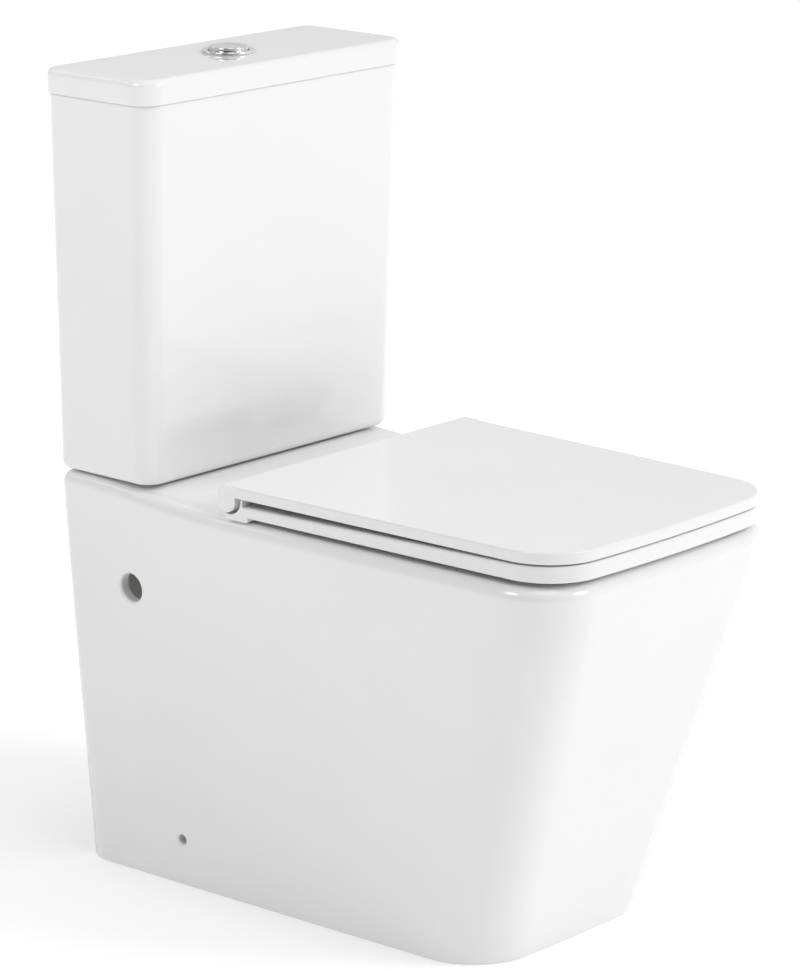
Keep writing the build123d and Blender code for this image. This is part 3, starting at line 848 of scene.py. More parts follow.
@dataclass
class Pan:
    """The glazed pan: skirt, deck, rim, bowl, trap and flush way in one firing."""

    finishes: Finishes
    levels: Row = field(default_factory=lambda: np.array([
        # height, half widths at back, middle and front, front line, back and front corner radius
        (0.0, 160.4, 151.6, 140.0, 539.5, 34.0, 73.0),
        (104.0, 166.8, 161.1, 150.8, 569.8, 30.0, 71.7),
        (207.0, 173.0, 170.7, 161.4, 601.2, 25.0, 70.5),
        (311.0, 178.4, 180.0, 171.8, 634.0, 20.0, 69.2),
        (372.0, 181.4, 185.6, 177.6, 651.6, 17.0, 68.5),
        (402.0, 182.9, 187.6, 180.4, 656.8, 16.0, 68.2),
        (424.0, 184.0, 188.9, 181.4, 656.8, 15.0, 68.0),
    ]))
    bulge: float = 4.0
    wall: float = 12.0
    edge_r: float = 12.5
    lip_r: float = 9.0
    bowl_wall: float = 11.0
    hollow_top: float = 400.0
    bowl: Row = field(default_factory=lambda: np.array([
        # height, half width, back and front distance from the wall
        (84.0, 30.0, 318.0, 392.0),
        (130.0, 42.0, 305.0, 405.0),
        (190.0, 66.0, 298.0, 460.0),
        (260.0, 100.0, 290.0, 540.0),
        (340.0, 127.0, 285.0, 592.0),
        (416.0, 132.0, 283.0, 603.0),
    ]))
    trap: tuple[tuple[float, float], ...] = ((352.0, 118.0), (285.0, 118.0), (225.0, 238.0),
                                             (163.0, 238.0), (118.0, 180.0), (60.0, 180.0))
    trap_bend: float = 50.0
    trap_r: float = 43.0
    trap_bore_r: float = 34.0
    side_holes: tuple[tuple[float, ...], ...] = ((100.0, 316.0, 15.0, 3.2), (148.0, 51.0, 5.2, 2.6))

    def plan(self, z: float) -> Plan:
        """Return the outside outline at a height."""
        row = smooth_curve(np.array([z]), self.levels[:, 0], self.levels[:, 1:])[0]
        return Plan(0.0, row[3], (row[0], row[1], row[2]), row[4], row[5], self.bulge)

    def room_plan(self, z: float) -> Plan:
        """Return the outline at a height carried on past the wall, for the open back."""
        return replace(self.plan(z), back=-40.0, back_r=30.0)

    @staticmethod
    def top(x: Row, w: Row) -> Row:
        """Return the height of the pan's top: the deck, the sweep down and the rim.

        Args:
            x: distance to the side.
            w: distance from the wall.

        Returns:
            The height at each place.
        """
        t = np.clip((w - 129.0) / 60.0, 0, 1)
        sweep = 1 - (1 - (1 - t) ** 2.6) ** 1.25
        s = np.clip((w - 30.0) / 205.0, 0, 1)
        edge = 1 - (3 * s**2 - 2 * s**3)
        near = np.clip((np.abs(x) - 150.0) / 34.0, 0, 1)
        near = near * near * (3 - 2 * near)
        share = sweep * (1 - near) + edge * near
        return Z_RIM + (Z_DECK - Z_RIM) * share

    def bowl_loop(self, guide: Row, z: float, grow: float = 0.0) -> Row:
        """Return the bowl's outline at a height.

        Args:
            guide: a loop whose point order is followed.
            z: the height.
            grow: how far it is moved outwards.

        Returns:
            Points (x, w).
        """
        row = smooth_curve(np.array([z]), self.bowl[:, 0], self.bowl[:, 1:])[0]
        half, back, front = row
        return ellipse_like(guide, (back + front) / 2, half + grow, (front - back) / 2 + grow)

    def outside(self) -> bpy.types.Object:
        """Build the solid pan with its bowl sunk into it.

        Returns:
            The solid.
        """
        foot = self.plan(0.0).loop()
        rings = [level(foot * 0.5 + np.array([0.0, 120.0]), 0.0)]
        rings += [level(self.plan(0.0).loop(3.0), 0.0), level(self.plan(0.0).loop(0.8), 0.5),
                  level(self.plan(2.5).loop(), 2.5)]
        crown = self.plan(Z_DECK).loop()
        height = self.top(crown[:, 0], crown[:, 1])
        reach = height - self.edge_r
        for share in np.concatenate([np.linspace(0.02, 0.86, 34), np.linspace(0.88, 1.0, 14)]):
            rings.append(self._wall_ring(share, reach))
        last = self._wall_ring(1.0, reach)
        inward = self._inward()
        for rise, run in sweep(6, 90, 15):
            shift = self.edge_r * (1 - run)
            ring = last.copy()
            ring[:, :2] += inward * shift
            ring[:, 2] = reach + self.edge_r * rise
            rings.append(ring)
        rim = rings[-1][:, :2]
        rings += self._top_rings(rim)
        rings += self._bowl_rings(rim)
        return skin("pan", rings)

    def _inward(self) -> Row:
        """Return the inward direction at each point of the top outline."""
        outer, inner = self.plan(Z_RIM).loop(), self.plan(Z_RIM).loop(1.0)
        return inner - outer

    def _wall_ring(self, share: float, reach: Row) -> Row:
        """Return one ring of the outside wall.

        Args:
            share: how far up it is, from 0 at the floor to 1 where the edge starts.
            reach: the height at which the edge starts, for each point.

        Returns:
            Points (x, w, z).
        """
        heights = 2.5 + (reach - 2.5) * share
        low, high = float(heights.min()), float(heights.max())
        if high - low < 0.05:
            return level(self.plan(low).loop(), low)
        first, second = self.plan(low).loop(), self.plan(high).loop()
        t = ((heights - low) / (high - low))[:, None]
        return level(first * (1 - t) + second * t, heights)

    def _top_rings(self, rim: Row) -> list[Row]:
        """Return the rings across the deck and rim.

        Args:
            rim: the outline at the outer edge.

        Returns:
            Rings from the outer edge to the bowl's lip.
        """
        lip = self.bowl_loop(rim, 416.0, self.lip_r)
        rings = []
        for t in np.linspace(0.0, 1.0, 88)[1:] ** 1.15:
            loop = rim * (1 - t) + lip * t
            rings.append(level(loop, self.top(loop[:, 0], loop[:, 1])))
        return rings

    def _bowl_rings(self, guide: Row) -> list[Row]:
        """Return the rings over the lip, down the bowl and into the sump.

        Args:
            guide: a loop whose point order is followed.

        Returns:
            The rings.
        """
        rings = []
        for rise, run in sweep(8, 90, 10):
            grow = self.lip_r * (1 - rise)
            loop = self.bowl_loop(guide, 416.0, grow)
            rings.append(level(loop, Z_RIM - self.lip_r * (1 - run)))
        for z in np.linspace(Z_RIM - self.lip_r - 4, 96.0, 46):
            rings.append(level(self.bowl_loop(guide, z), z))
        for rise, run in sweep(15, 80, 6):
            loop = self.bowl_loop(guide, 96.0, -26.0 * (1 - run))
            rings.append(level(loop, 96.0 - 12.0 * rise))
        return rings

    def hollow(self) -> bpy.types.Object:
        """Build the space behind the skirt and round the bowl, open below and behind.

        Returns:
            The solid that is cut away.
        """
        rings = [level(self.room_plan(0.0).loop(self.wall), -5.0)]
        for z in np.linspace(0.0, self.hollow_top - 10, 28):
            rings.append(level(self.room_plan(z).loop(self.wall), z))
        for rise, run in sweep(15, 90, 6):
            inset = self.wall + 10 * (1 - run)
            z = self.hollow_top - 10 + 10 * rise
            rings.append(level(self.room_plan(self.hollow_top).loop(inset), z))
        guide = rings[-1][:, :2]
        round_bowl = self.bowl_loop(guide, self.hollow_top, self.bowl_wall + 8)
        for t in np.linspace(0.1, 1.0, 12):
            rings.append(level(guide * (1 - t) + round_bowl * t, self.hollow_top))
        for rise, run in sweep(20, 90, 5):
            grow = self.bowl_wall + 8 * (1 - rise)
            rings.append(level(self.bowl_loop(guide, 400.0, grow),
                               self.hollow_top - 8 * (1 - run)))
        for z in np.linspace(self.hollow_top - 14, 84.0, 36):
            rings.append(level(self.bowl_loop(guide, z, self.bowl_wall), z - 4.0 * (400 - z) / 316))
        for rise, run in sweep(20, 80, 5):
            grow = self.bowl_wall - 30.0 * (1 - run)
            rings.append(level(self.bowl_loop(guide, 84.0, grow), 80.0 - 7.0 * rise))
        return skin("hollow", rings)

    def trap_path(self) -> Row:
        """Round the corners of the trap's centre line.

        Returns:
            Points (w, z) along it.
        """
        points = [np.array(p) for p in self.trap]
        walk = [points[0]]
        for before, here, after in zip(points, points[1:], points[2:]):
            first = (before - here) / np.linalg.norm(before - here)
            second = (after - here) / np.linalg.norm(after - here)
            half_turn = math.acos(float(np.clip(first @ second, -1, 1))) / 2
            run = self.trap_bend / math.tan(half_turn)
            centre = here + (first + second) / np.linalg.norm(first + second) * (
                self.trap_bend / math.sin(half_turn))
            start, end = here + first * run - centre, here + second * run - centre
            a0, a1 = (math.atan2(v[1], v[0]) for v in (start, end))
            turn = (a1 - a0 + math.pi) % (2 * math.pi) - math.pi
            for k in range(13):
                angle = a0 + turn * k / 12
                walk.append(centre + self.trap_bend * np.array([math.cos(angle), math.sin(angle)]))
        walk.append(points[-1])
        return np.array(walk)

    def side_cutters(self) -> list[bpy.types.Object]:
        """Make the cutters for the round holes in both sides, eased where the glaze runs in.

        Returns:
            The cutters.
        """
        tools = []
        for w, z, radius, ease in self.side_holes:
            plan = self.plan(z)
            half, normal = plan.side(w)
            profile = [(0.0, -40.0), (radius, -40.0), (radius, -ease)]
            profile += [(radius + ease * (1 - run), -ease + ease * rise)
                        for rise, run in sweep(15, 90, 7)]
            profile += [(radius + ease + 6, 0.02), (radius + ease + 6, 12.0), (0.0, 12.0)]
            for side in (1, -1):
                tool = turned("side_hole", profile, (0.0, DEPTH / 2, 0.0), "x", 72)
                tilt = math.atan2(self.plan(z + 20).side(w)[0][0] - half[0], 20.0)
                lean = math.atan2(normal[1], normal[0])
                turn = Matrix.Rotation(-lean, 4, "Z") @ Matrix.Rotation(tilt, 4, "Y")
                if side < 0:
                    turn = Matrix.Scale(-1, 4, (1, 0, 0)) @ turn
                spot = Vector((side * half[0], DEPTH / 2 - w, z)) * MM
                tool.data.transform(Matrix.Translation(spot) @ turn)
                if side < 0:
                    tool.data.flip_normals()
                tools.append(tool)
        return tools

    def build(self) -> None:
        """Build the pan and dress it."""
        pan = self.outside()
        combine(pan, Cut.AWAY, self.hollow())
        path = self.trap_path()
        combine(pan, Cut.JOIN, skin("trap", tube_rings(path, self.trap_r)[1:]))
        guide = self.plan(100.0).loop()
        combine(pan, Cut.AWAY, skin("sump", [level(self.bowl_loop(guide, z, -0.2), z)
                                             for z in np.linspace(97.0, 185.0, 10)]))
        spigot = [(0.0, 38.0), (49.5, 38.0), (51.0, 39.5), (51.0, 82.0), (43.0, 90.0), (0.0, 90.0)]
        combine(pan, Cut.JOIN, turned("spigot", spigot, (0.0, 0.0, 180.0), "w"))
        combine(pan, Cut.JOIN, prism("bridge", [(3, 248), (6, 245), (15, 245), (15, 402), (3, 402)],
                                     -165, 165))
        duct = prism("duct", [(24, 357), (300, 357), (300, 402), (24, 402)], -45, 45)
        ease_edges(duct, 5.0)
        combine(pan, Cut.JOIN, duct,
                turned("boss", [(0, 357), (50, 357), (53, 360), (53, 402), (0, 402)], VALVE))
        combine(pan, Cut.AWAY, skin("bore", tube_rings(path, self.trap_bore_r)),
                turned("outlet", [(0, 20), (42, 20), (42, 80), (34, 86), (0, 86)], (0, 0, 180), "w"),
                prism("room", [(34, 366), (296, 366), (296, 389), (34, 389)], -36, 36),
                turned("inlet", [(0, 366.5), (30, 366.5), (30, 393), (44, 393), (44, 440), (0, 440)],
                       VALVE),
                rod(19, 380, 440, INLET))
        for x, w, radius in ((CISTERN_BOLT_X, W_VALVE, 6), (HINGE_STUD_X, W_AXIS, 8)):
            combine(pan, Cut.AWAY, *[rod(radius, 380, 440, (side * x, w, 0), "z", 24) for side in (-1, 1)])
        combine(pan, Cut.AWAY, *self.side_cutters())
        clean(pan)
        dress(pan, self.finishes.glaze, "toilet",
              ("pan", "pan_skirt_left", "pan_skirt_right", "pan_skirt_front", "pan_back_bridge",
               "pan_bowl", "pan_sump", "pan_trapway", "pan_flush_way"))
        self._bare_inside(pan)

    def _bare_inside(self, pan: bpy.types.Object) -> None:
        """Give the faces behind the skirt the thin glazed clay.

        Args:
            pan: the finished pan.
        """
        pan.data.materials.append(self.finishes.clay)
        for face in pan.data.polygons:
            x, y, z = (c / MM for c in face.center)
            w = DEPTH / 2 - y
            if z < self.hollow_top + 1 and self._behind_skirt(abs(x), w, z):
                face.material_index = 1

    def _behind_skirt(self, x: float, w: float, z: float) -> bool:
        """Tell whether a place is inside the skirt and outside the bowl.

        Args:
            x: distance to the side.
            w: distance from the wall.
            z: height.

        Returns:
            True if it is.
        """
        if 90 < z and self._inside_bowl(x, w, z):
            return False
        plan = self.plan(max(z, 0.0))
        middle = (plan.back + plan.front - plan.bulge) / 2
        half = float(np.interp(w, [0, middle, plan.front - plan.bulge], plan.halves))
        past = max(w - (plan.front - plan.front_r), 0.0), max(x - (half - plan.front_r), 0.0)
        return x < half - 5 and w < plan.front - 5 and math.hypot(*past) < plan.front_r - 5

    def _inside_bowl(self, x: float, w: float, z: float) -> bool:
        """Tell whether a place is on or within the bowl's glazed inside.

        Args:
            x: distance to the side.
            w: distance from the wall.
            z: height.

        Returns:
            True if it is.
        """
        half, back, front = smooth_curve(np.array([z]), self.bowl[:, 0], self.bowl[:, 1:])[0]
        reach, centre = (front - back) / 2 + 4, (front + back) / 2
        return (x / (half + 4)) ** 2 + ((w - centre) / reach) ** 2 < 1.0


# ---------------------------------------------------------------- the cistern and its lid


@dataclass
class Cistern:
    """The tall glazed cistern, open above, with its lift-off lid."""

    finishes: Finishes
    bottom: float = 425.9
    top: float = 814.3
    low: tuple[float, float] = (183.9, 133.7)
    high: tuple[float, float] = (190.6, 144.5)
    wall: float = 9.0
    floor: float = 12.0
    foot_r: float = 9.0
    lid_half: float = 194.0
    lid_front: float = 147.0
    lid_top: float = 840.0
    lid_edge_r: float = 7.5
    plate: float = 11.0
    lip: float = 13.0
    counts: tuple[int, ...] = (20, 12, 24, 16, 26)

    def plan(self, z: float) -> Plan:
        """Return the cistern's outline.

        Args:
            z: the height.

        Returns:
            The outline.
        """
        share = (z - self.bottom) / (self.top - self.bottom)
        half, front = (a + (b - a) * share for a, b in zip(self.low, self.high))
        return Plan(0.0, front, (half, half, half), 15.0, 24.0)

    def inner(self, z: float, inset: float) -> Row:
        """Return one ring of the cistern's inside, with rounder back corners."""
        plan = replace(self.plan(z), back_r=inset + 9.0, front_r=inset + 15.0)
        return level(plan.loop(inset, self.counts), z)

    def ring(self, z: float, inset: float = 0.0) -> Row:
        """Return one ring of the cistern."""
        return level(self.plan(z).loop(inset, self.counts), z)

    def lid_ring(self, z: float, inset: float = 0.0) -> Row:
        """Return one ring of the lid's plate."""
        plan = Plan(0.0, self.lid_front, (self.lid_half,) * 3, 15.5, 25.0)
        return level(plan.loop(inset, self.counts), z)

    @staticmethod
    def toward_middle(ring: Row, share: float) -> Row:
        """Return a level ring shrunk towards its own middle."""
        middle = ring.mean(axis=0)
        return ring + (middle - ring) * share

    def build(self) -> None:
        """Build the cistern and the lid."""
        self._tank()
        self._lid()

    def _tank(self) -> None:
        """Build the cistern's shell and drill its floor."""
        rings = [self.toward_middle(self.ring(self.bottom, 14.0), 0.4), self.ring(self.bottom, 14.0)]
        for rise, run in sweep(0, 90, 9):
            rings.append(self.ring(self.bottom + self.foot_r * (1 - run),
                                   self.foot_r * (1 - rise)))
        rings += [self.ring(z) for z in np.linspace(self.bottom + 14, self.top - 2.0, 30)]
        for rise, run in sweep(30, 90, 3):
            rings.append(self.ring(self.top - 2 + 2 * rise, 2 * (1 - run)))
        rings += [self.ring(self.top - 2 * (1 - run), self.wall - 2 * (1 - rise))
                  for rise, run in sweep(0, 90, 4)]
        base = self.bottom + self.floor
        rings += [self.inner(z, self.wall) for z in np.linspace(self.top - 8, base + 8, 16)]
        for rise, run in sweep(20, 90, 5):
            rings.append(self.inner(base + 8 * (1 - rise), self.wall + 8 * (1 - run)))
        tank = skin("cistern", rings)
        drills = [rod(31, 400, 470, VALVE), rod(11.4, 400, 470, INLET, "z", 32)]
        drills += [rod(6, 400, 470, (side * CISTERN_BOLT_X, W_VALVE, 0), "z", 24) for side in (-1, 1)]
        combine(tank, Cut.AWAY, *drills)
        clean(tank)
        dress(tank, self.finishes.glaze, "toilet", ("cistern",))

    def _lid(self) -> None:
        """Build the lid: plate, rounded edge, and the lip that drops into the cistern."""
        r = self.lid_edge_r
        rings = [self.toward_middle(self.lid_ring(self.lid_top, 12.0), share)
                 for share in (0.55, 0.35, 0.18, 0.06)]
        rings += [self.lid_ring(self.lid_top, inset) for inset in (12.0, r + 1.5)]
        for rise, run in sweep(0, 90, 13):
            rings.append(self.lid_ring(self.lid_top - r * (1 - run), r * (1 - rise)))
        rings += [self.lid_ring(z) for z in (self.lid_top - 12, self.lid_top - 18, self.top + 2)]
        for rise, run in sweep(22, 90, 4):
            rings.append(self.lid_ring(self.top + 2 - 2 * rise, 2 * (1 - run)))
        lip_top = self.plan(self.top)
        for z, inset in ((self.top, 11.0), (self.top - 0.6, 12.0), (self.top - self.lip + 1.5, 12.0),
                         (self.top - self.lip, 13.5), (self.top - self.lip, 18.5),
                         (self.top - self.lip + 1.5, 20.0), (self.lid_top - self.plate - 3, 20.0),
                         (self.lid_top - self.plate, 22.0)):
            plan = replace(lip_top, back_r=inset + 5.0, front_r=inset + 8.0)
            rings.append(level(plan.loop(inset, self.counts), z))
        rings.append(self.toward_middle(rings[-1], 0.5))
        lid = skin("cistern_lid", rings)
        combine(lid, Cut.AWAY, rod(24.5, 800, 860, VALVE))
        clean(lid)
        dress(lid, self.finishes.glaze, "cistern_cover", ("cistern_lid",))


# ---------------------------------------------------------------- the seat


@dataclass
class Seat:
    """The seat lid, the seat ring and their hinge barrels."""

    finishes: Finishes
    half_back: float = 183.6
    half_front: float = 171.9
    corner: float = 60.0
    bulge: float = 8.2
    lid_back: float = 232.0
    lid_bottom: float = 438.0
    lid_skin: float = 445.0
    top: float = 449.5
    ring_back: float = 259.0
    ring_bottom: float = 419.7
    barrel_r: float = 12.0
    barrel_x: float = 124.0
    pin_bore: float = 4.1
    hole: tuple[float, float, float] = (116.0, 306.0, 592.0)
    counts: tuple[int, ...] = (24, 6, 44, 26, 26)

    def plan(self, back: float, back_r: float = 3.0) -> Plan:
        """Return the seat's outline from a line near its hinge.

        Args:
            back: where it starts, out from the wall.
            back_r: radius of its back corners.

        Returns:
            The outline.
        """
        taper = (self.half_back - self.half_front) / (DEPTH - 227.0)
        start = self.half_back - (back - 227.0) * taper
        halves = (start, (start + self.half_front) / 2 + 0.4, self.half_front)
        return Plan(back, DEPTH, halves, back_r, self.corner, self.bulge)

    def ring_top(self, w: Any) -> Any:
        """Return the height of the ring's sloping top."""
        return 430.5 + 6.0 * (w - self.ring_back) / (DEPTH - self.ring_back)

    def _outline_block(self, back: float, z0: float, z1: float, inset: float = 0.0) -> bpy.types.Object:
        """Return a plain block with the seat's outline."""
        loop = self.plan(back, 3.0 + inset).loop(inset, self.counts)
        return skin("block", [level(loop, z0), level(loop, z1)])

    def _barrel_profile(self) -> list[tuple[float, float]]:
        """Return the side profile of the lid's hinge barrel.

        Returns:
            Points (w, z).
        """
        r = self.barrel_r
        rear = arc(W_AXIS - r + 8, self.top - 8, 8.0, 90, 180, 9)
        low = arc(W_AXIS, Z_AXIS, r, 180, 360, 27)
        return rear + low + [(W_AXIS + r, self.top), (W_AXIS + 3, self.top)]

    def build(self) -> None:
        """Build the lid and the ring."""
        self._lid()
        self._ring()

    def _lid(self) -> None:
        """Build the seat lid."""
        plan = self.plan(self.lid_back)
        rings = [level(plan.loop(2.0, self.counts), self.lid_bottom),
                 level(plan.loop(0.8, self.counts), self.lid_bottom)]
        for rise, run in sweep(25, 90, 3):
            rings.append(level(plan.loop(0.8 * (1 - rise), self.counts),
                               self.lid_bottom + 0.8 * (1 - run)))
        rings.append(level(plan.loop(0.0, self.counts), self.top - 4.0))
        for rise, run in sweep(0, 90, 8):
            rings.append(level(plan.loop(2.0 * (1 - run), self.counts),
                               self.top - 2 + 2 * rise))
        edge = rings[-1]
        for share in (0.006, 0.02, 0.05, 0.12, 0.3, 0.6):
            rings.append(edge + (edge.mean(axis=0) - edge) * share)
        lid = skin("seat_lid", rings)
        under = self._outline_block(self.lid_back + 22, self.lid_bottom - 3, self.lid_skin, 6.0)
        notch = [(220, 434), (270, 434), (270, self.lid_skin), (220, self.lid_skin)]
        combine(lid, Cut.AWAY, under, prism("notch", notch, -self.barrel_x, self.barrel_x))
        for side in (-1, 1):
            barrel = prism("barrel", self._barrel_profile(), *span(side, self.barrel_x, 200.0))
            combine(barrel, Cut.KEEP, self._outline_block(W_AXIS - self.barrel_r - 1, 410, self.top))
            combine(lid, Cut.JOIN, barrel)
            combine(lid, Cut.AWAY, rod(self.pin_bore, *span(side, 119.0, 177.0), HINGE_AXIS, "x", 32))
            combine(lid, Cut.JOIN, *[turned("boss", [(0, 438), (8.4, 438), (9, 438.6), (9, 446), (0, 446)],
                                            (120.0 * side, w, 0), "z", 32) for w in (330, 560)])
        clean(lid)
        ease_edges(lid, 0.7, 50.0, 2)
        dress(lid, self.finishes.seat, "lid", ("seat_lid",), 42.0)

    def _ring(self) -> None:
        """Build the seat ring with its lugs and the cradles under the lid's barrels."""
        half, w0, w1 = self.hole
        plan = self.plan(self.ring_back)
        outer = plan.loop(0.0, self.counts)
        middle, reach = (w0 + w1) / 2, (w1 - w0) / 2
        inner = ellipse_like(outer, middle, half, reach)
        step = plan.loop(1.0, self.counts) - outer
        grow = ellipse_like(outer, middle, half + 1.0, reach + 1.0) - inner
        r, edge = 2.4, 4.0
        rings = []
        for rise, run in sweep(0, 90, 6):
            loop = outer + step * r * (1 - rise)
            rings.append(level(loop, self.ring_bottom + r * (1 - run)))
        for rise, run in sweep(0, 90, 6):
            loop = outer + step * r * (1 - run)
            rings.append(level(loop, self.ring_top(loop[:, 1]) - r * (1 - rise)))
        for t in np.linspace(0.08, 0.94, 14):
            loop = (outer + step * r) * (1 - t) + (inner + grow * edge) * t
            rings.append(level(loop, self.ring_top(loop[:, 1])))
        for rise, run in sweep(0, 90, 8):
            loop = inner + grow * edge * (1 - rise)
            rings.append(level(loop, self.ring_top(loop[:, 1]) - edge * (1 - run)))
        for rise, run in sweep(0, 90, 6):
            loop = inner + grow * r * (1 - run)
            rings.append(level(loop, self.ring_bottom + r * (1 - rise)))
        ring = skin("seat_ring", rings, endless=True)
        for side in (-1, 1):
            combine(ring, Cut.JOIN, self._cradle(side))
            combine(ring, Cut.AWAY, rod(16, *span(side, self.barrel_x, 210.0), (0, 243.0, 436.5), "x", 96))
            x0, x1 = span(side, 96.0, 121.0)
            profile = arc(W_AXIS, Z_AXIS, 10.0, 90, 270, 19) + [(267, 424), (267, 429.5), (252, 432.5)]
            combine(ring, Cut.JOIN, prism("lug", profile, x0, x1))
            combine(ring, Cut.AWAY, rod(self.pin_bore, x0 - 3, x1 + 3, HINGE_AXIS, "x", 32))
        clean(ring)
        ease_edges(ring, 0.6, 50.0, 2)
        dress(ring, self.finishes.seat, "ring", ("seat_ring",), 42.0)

    def _cradle(self, side: int) -> bpy.types.Object:
        """Build the end of the ring's side that curves round under the lid's barrel.

        Args:
            side: 1 for the right, -1 for the left.

        Returns:
            The solid.
        """
        foot = arc(241.0, 418.3, 3.0, 180, 270, 6) + arc(265.0, 418.3, 3.0, 270, 360, 6)
        profile = foot + [(268.0, 429.5), (260.6, 430.5), (260.6, 436.9), (260.1, 437.4),
                          (257.0, 437.4), (238.0, 429.5)]
        block = prism("cradle", profile, *span(side, self.barrel_x + 1, 200.0))
        return combine(block, Cut.KEEP, self._outline_block(236.0, 412, 440))


# ---------------------------------------------------------------- the push buttons


@dataclass
class PushButtons:
    """The split chrome push button in its bezel."""

    finishes: Finishes
    button_r: float = 20.5
    gap: float = 0.6
    turn: float = 167.0
    offset: float = 7.7
    rod_out: float = 12.5
    lid_top: float = 840.0
    top: float = 846.7

    def build(self) -> None:
        """Build the bezel and both buttons."""
        self._bezel()
        self._half("button_full_flush", 1, "full_button")
        self._half("button_half_flush", -1, "half_button")

    def _bezel(self) -> None:
        """Build the bezel with its threaded sleeve."""
        z = self.lid_top
        profile = [(0, 808), (23.2, 808), (24, 808.8)]
        for step in range(9):
            profile += [(24, 811.5 + step * 2), (23.3, 812.5 + step * 2)]
        profile += [(24, 830), (24, z), (27.4, z), (28, z + 0.5)]
        profile += [(28 - 1.5 * (1 - run), z + 1.5 + 1.4 * rise) for rise, run in sweep(0, 90, 7)]
        profile += [(22.2, z + 2.6), (21.5, z + 2.2), (21.3, z + 1.4), (21.3, 812), (0, 812)]
        bezel = turned("button_bezel", profile, VALVE, "z", 96)
        for x, w in self.rods():
            combine(bezel, Cut.AWAY, rod(3.6, 800, 820, (x, w, 0), "z", 24))
        clean(bezel)
        dress(bezel, self.finishes.chrome, "cistern_cover", ("button_bezel",), 30.0)

    def rods(self) -> list[tuple[float, float]]:
        """Return where the push rods stand, (x, w)."""
        a = math.radians(self.turn)
        return [(math.cos(a) * d, W_VALVE - math.sin(a) * d) for d in (-self.rod_out, self.rod_out)]

    def _half(self, name: str, side: int, body: str) -> None:
        """Build one part of the split button.

        Args:
            name: its CAD node's name.
            side: 1 for the large part, -1 for the small one.
            body: the body it moves with.
        """
        r, z = self.button_r, self.top
        profile = [(0, z - 12.7), (r - 0.4, z - 12.7), (r, z - 12.3), (r, z - 1.4)]
        profile += [(r - 1.3 * (1 - run), z - 1.5 + 1.3 * rise) for rise, run in sweep(10, 80, 7)]
        profile += [(share * (r - 1.6), z - 0.25 * share**2) for share in (1.0, 0.85, 0.65, 0.4, 0.2, 0.0)]
        disc = turned(name, profile, VALVE, "z", 128)
        edge = -self.offset + side * self.gap / 2
        far = 60.0 * side
        x0, x1 = sorted((edge, edge + far))
        corners = np.array([(x0, -60), (x1, -60), (x1, 60), (x0, 60)])
        a = math.radians(self.turn)
        turned_corners = corners @ np.array([[math.cos(a), math.sin(a)], [-math.sin(a), math.cos(a)]])
        loop = np.column_stack([turned_corners[:, 0], W_VALVE - turned_corners[:, 1]])
        keep = skin("keep", [level(loop, 820), level(loop, 860)])
        combine(disc, Cut.KEEP, keep)
        clean(disc)
        ease_edges(disc, 0.35, 60.0, 2)
        dress(disc, self.finishes.chrome, body, (name,), 30.0)


# ---------------------------------------------------------------- fixings and valves


class Fixings:
    """The small pieces that keep their CAD shape and get their own finish."""

    def __init__(self, finishes: Finishes) -> None:
        """Say which finish each CAD node gets.

        Args:
            finishes: the toilet's materials.
        """
        self.finish_of = {
            finishes.chrome: ("hinge_posts",),
            finishes.steel: ("hinge_pins", "hinge_bolts", "cistern_bolts", "cistern_bolt_plates"),
            finishes.white: ("hinge_nuts", "cistern_wing_nuts", "flush_valve_backnut", "flush_valve",
                             "fill_valve", "fill_valve_nut", "fill_valve_head", "button_bezel_nut",
                             "push_rod_full", "push_rod_half"),
            finishes.blue: ("flush_valve_stem", "fill_valve_float"),
            finishes.black: ("cistern_pads", "doughnut_seal", "cistern_bolt_washers", "hinge_bushes",
                             "flush_valve_washer", "flush_valve_seal", "fill_valve_washer"),
            finishes.grey: ("seat_ring_buffers", "seat_lid_buffers"),
        }

    def build(self, nodes: dict[str, bpy.types.Object]) -> None:
        """Dress the CAD nodes.

        Args:
            nodes: the CAD node objects by name.
        """
        for material, names in self.finish_of.items():
            for name in names:
                mesh = nodes[name].data
                mesh.materials.clear()
                mesh.materials.append(material)
                LOG.info("%s: dressed with %s", name, material.name)


# ---------------------------------------------------------------- the studio


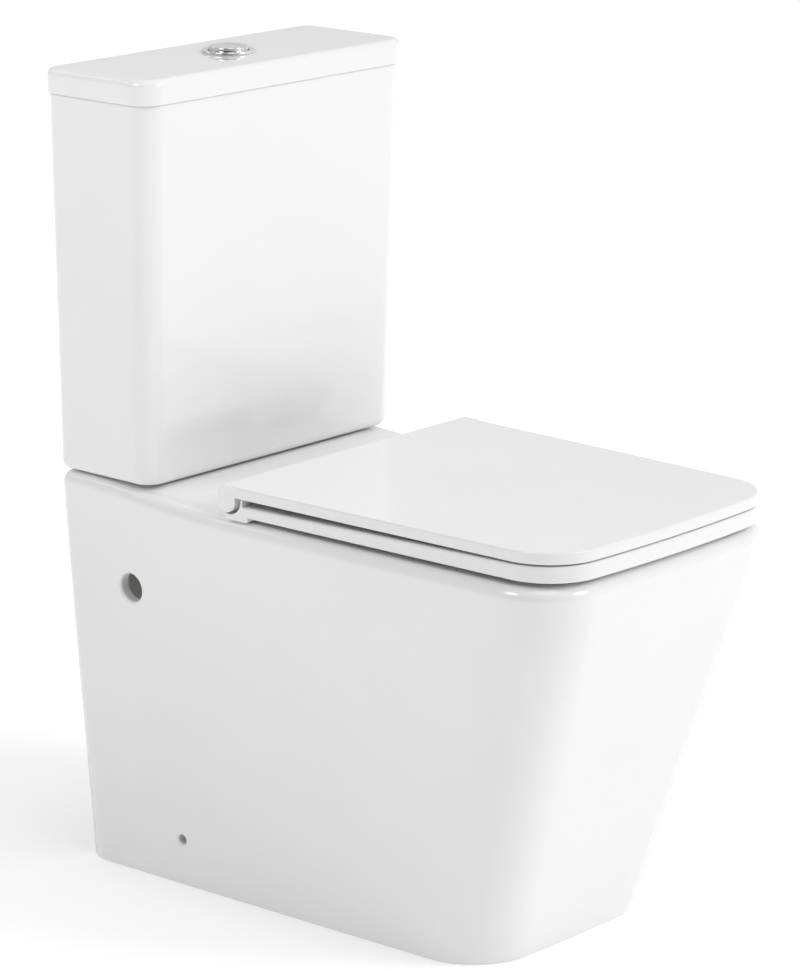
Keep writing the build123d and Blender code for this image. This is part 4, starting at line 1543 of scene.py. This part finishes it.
@dataclass
class Studio:
    """A plain pale floor, a white surround and soft lamps."""

    level: float = 0.72
    to_front: float = 0.20
    to_right: float = 0.15
    dull_spot: float = 0.70
    dull_way: tuple[float, float, float] = (-0.75, -0.66, 0.0)
    floor_half: float = 60.0
    near_glow: float = 0.27
    far_glow: float = 0.46
    lens: float = 149.4
    camera_at: tuple[float, float, float] = (-2.9285, -2.5839, 1.4772)
    camera_yaw: float = 48.323
    camera_pitch: float = 15.031
    # name, place, what it points at, width in metres and power in watts
    lamps: tuple[tuple[Any, ...], ...] = (
        ("back_left", (-0.9, 2.6, 2.6), (0.0, 0.0, 0.4), 0.9, 3.0),
        ("left", (-1.5, 0.3, 1.9), (0.0, 0.1, 0.5), 0.8, 8.0),
        ("high", (-0.5, -0.9, 3.2), (0.0, 0.0, 0.4), 1.2, 5.0),
        ("front_right", (1.2, -2.8, 2.8), (0.0, 0.0, 0.5), 1.4, 38.0),
    )

    def build(self) -> None:
        """Build the floor, the light and the camera."""
        self._floor()
        self._world()
        self._lamps()
        self._camera()
        scene = bpy.context.scene
        scene.view_settings.view_transform = "Standard"
        scene.view_settings.look = "None"

    def _floor(self) -> None:
        """Build the wide floor."""
        mesh = bpy.data.meshes.new("floor")
        size = self.floor_half
        mesh.from_pydata([(-size, -size, 0), (size, -size, 0), (size, size, 0), (-size, size, 0)], [],
                         [(0, 1, 2, 3)])
        floor = bpy.data.objects.new("floor", mesh)
        bpy.context.scene.collection.objects.link(floor)
        paint = Paint("floor_paint")
        tone = paint.noise(3.0, 3.0).between(0.3, 0.7)
        base = paint.mix(tone, (0.90, 0.90, 0.90), (0.895, 0.895, 0.896))
        reach = paint.node("ShaderNodeVectorMath", {"operation": "LENGTH"}, {0: paint.place}, "Value")
        glow = paint.mix(reach.between(0.6, 2.4), (self.near_glow,) * 3, (self.far_glow,) * 3)
        mesh.materials.append(paint.shine(Base_Color=base, Roughness=0.8, Specular_IOR_Level=0.2,
                                          Emission_Color=glow, Emission_Strength=1.0))

    def _world(self) -> None:
        """Make the surround: brighter in front and to the right, with a dull spot front left."""
        world = bpy.data.worlds.new("surround")
        bpy.context.scene.world = world
        world.use_nodes = True
        sky = Mixer(world.node_tree, "Generated")
        slope = sky.node("ShaderNodeVectorMath", {"operation": "DOT_PRODUCT"},
                         {0: sky.place, 1: (self.to_right, -self.to_front, 0.0)}, "Value")
        spot = sky.node("ShaderNodeVectorMath", {"operation": "DOT_PRODUCT"},
                        {0: sky.place, 1: self.dull_way}, "Value")
        dull = spot.between(0.0, 1.0) ** 2.0 * self.dull_spot
        inputs = {"Color": (1.0, 1.0, 1.0, 1.0), "Strength": slope + self.level - dull}
        sky.close(sky.node("ShaderNodeBackground", {}, inputs), "ShaderNodeOutputWorld")

    def _lamps(self) -> None:
        """Hang the soft lamps."""
        for name, spot, aim, size, power in self.lamps:
            lamp = bpy.data.lights.new(name, "AREA")
            lamp.shape = "DISK"
            lamp.size = size
            lamp.energy = power
            holder = bpy.data.objects.new(name, lamp)
            bpy.context.scene.collection.objects.link(holder)
            holder.location = spot
            way = Vector(aim) - Vector(spot)
            holder.rotation_euler = way.to_track_quat("-Z", "Y").to_euler()

    def _camera(self) -> None:
        """Place the camera."""
        camera = bpy.data.cameras.new("camera")
        camera.lens = self.lens
        camera.sensor_fit = "VERTICAL"
        camera.sensor_height = 36.0
        camera.clip_end = 200.0
        holder = bpy.data.objects.new("camera", camera)
        bpy.context.scene.collection.objects.link(holder)
        holder.location = self.camera_at
        yaw, pitch = math.radians(self.camera_yaw), math.radians(self.camera_pitch)
        way = Vector((math.sin(yaw) * math.cos(pitch), math.cos(yaw) * math.cos(pitch), -math.sin(pitch)))
        holder.rotation_euler = way.to_track_quat("-Z", "Y").to_euler()
        bpy.context.scene.camera = holder


def main() -> None:
    """Build the toilet on the CAD frame."""
    logging.basicConfig(level=logging.INFO, format="%(name)s %(message)s", stream=sys.stdout)
    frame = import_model()
    finishes = Finishes()
    for piece in (Pan(finishes), Cistern(finishes), Seat(finishes), PushButtons(finishes)):
        piece.build()
    Fixings(finishes).build(frame["nodes"])
    Studio().build()


if __name__ == "__main__":
    main()
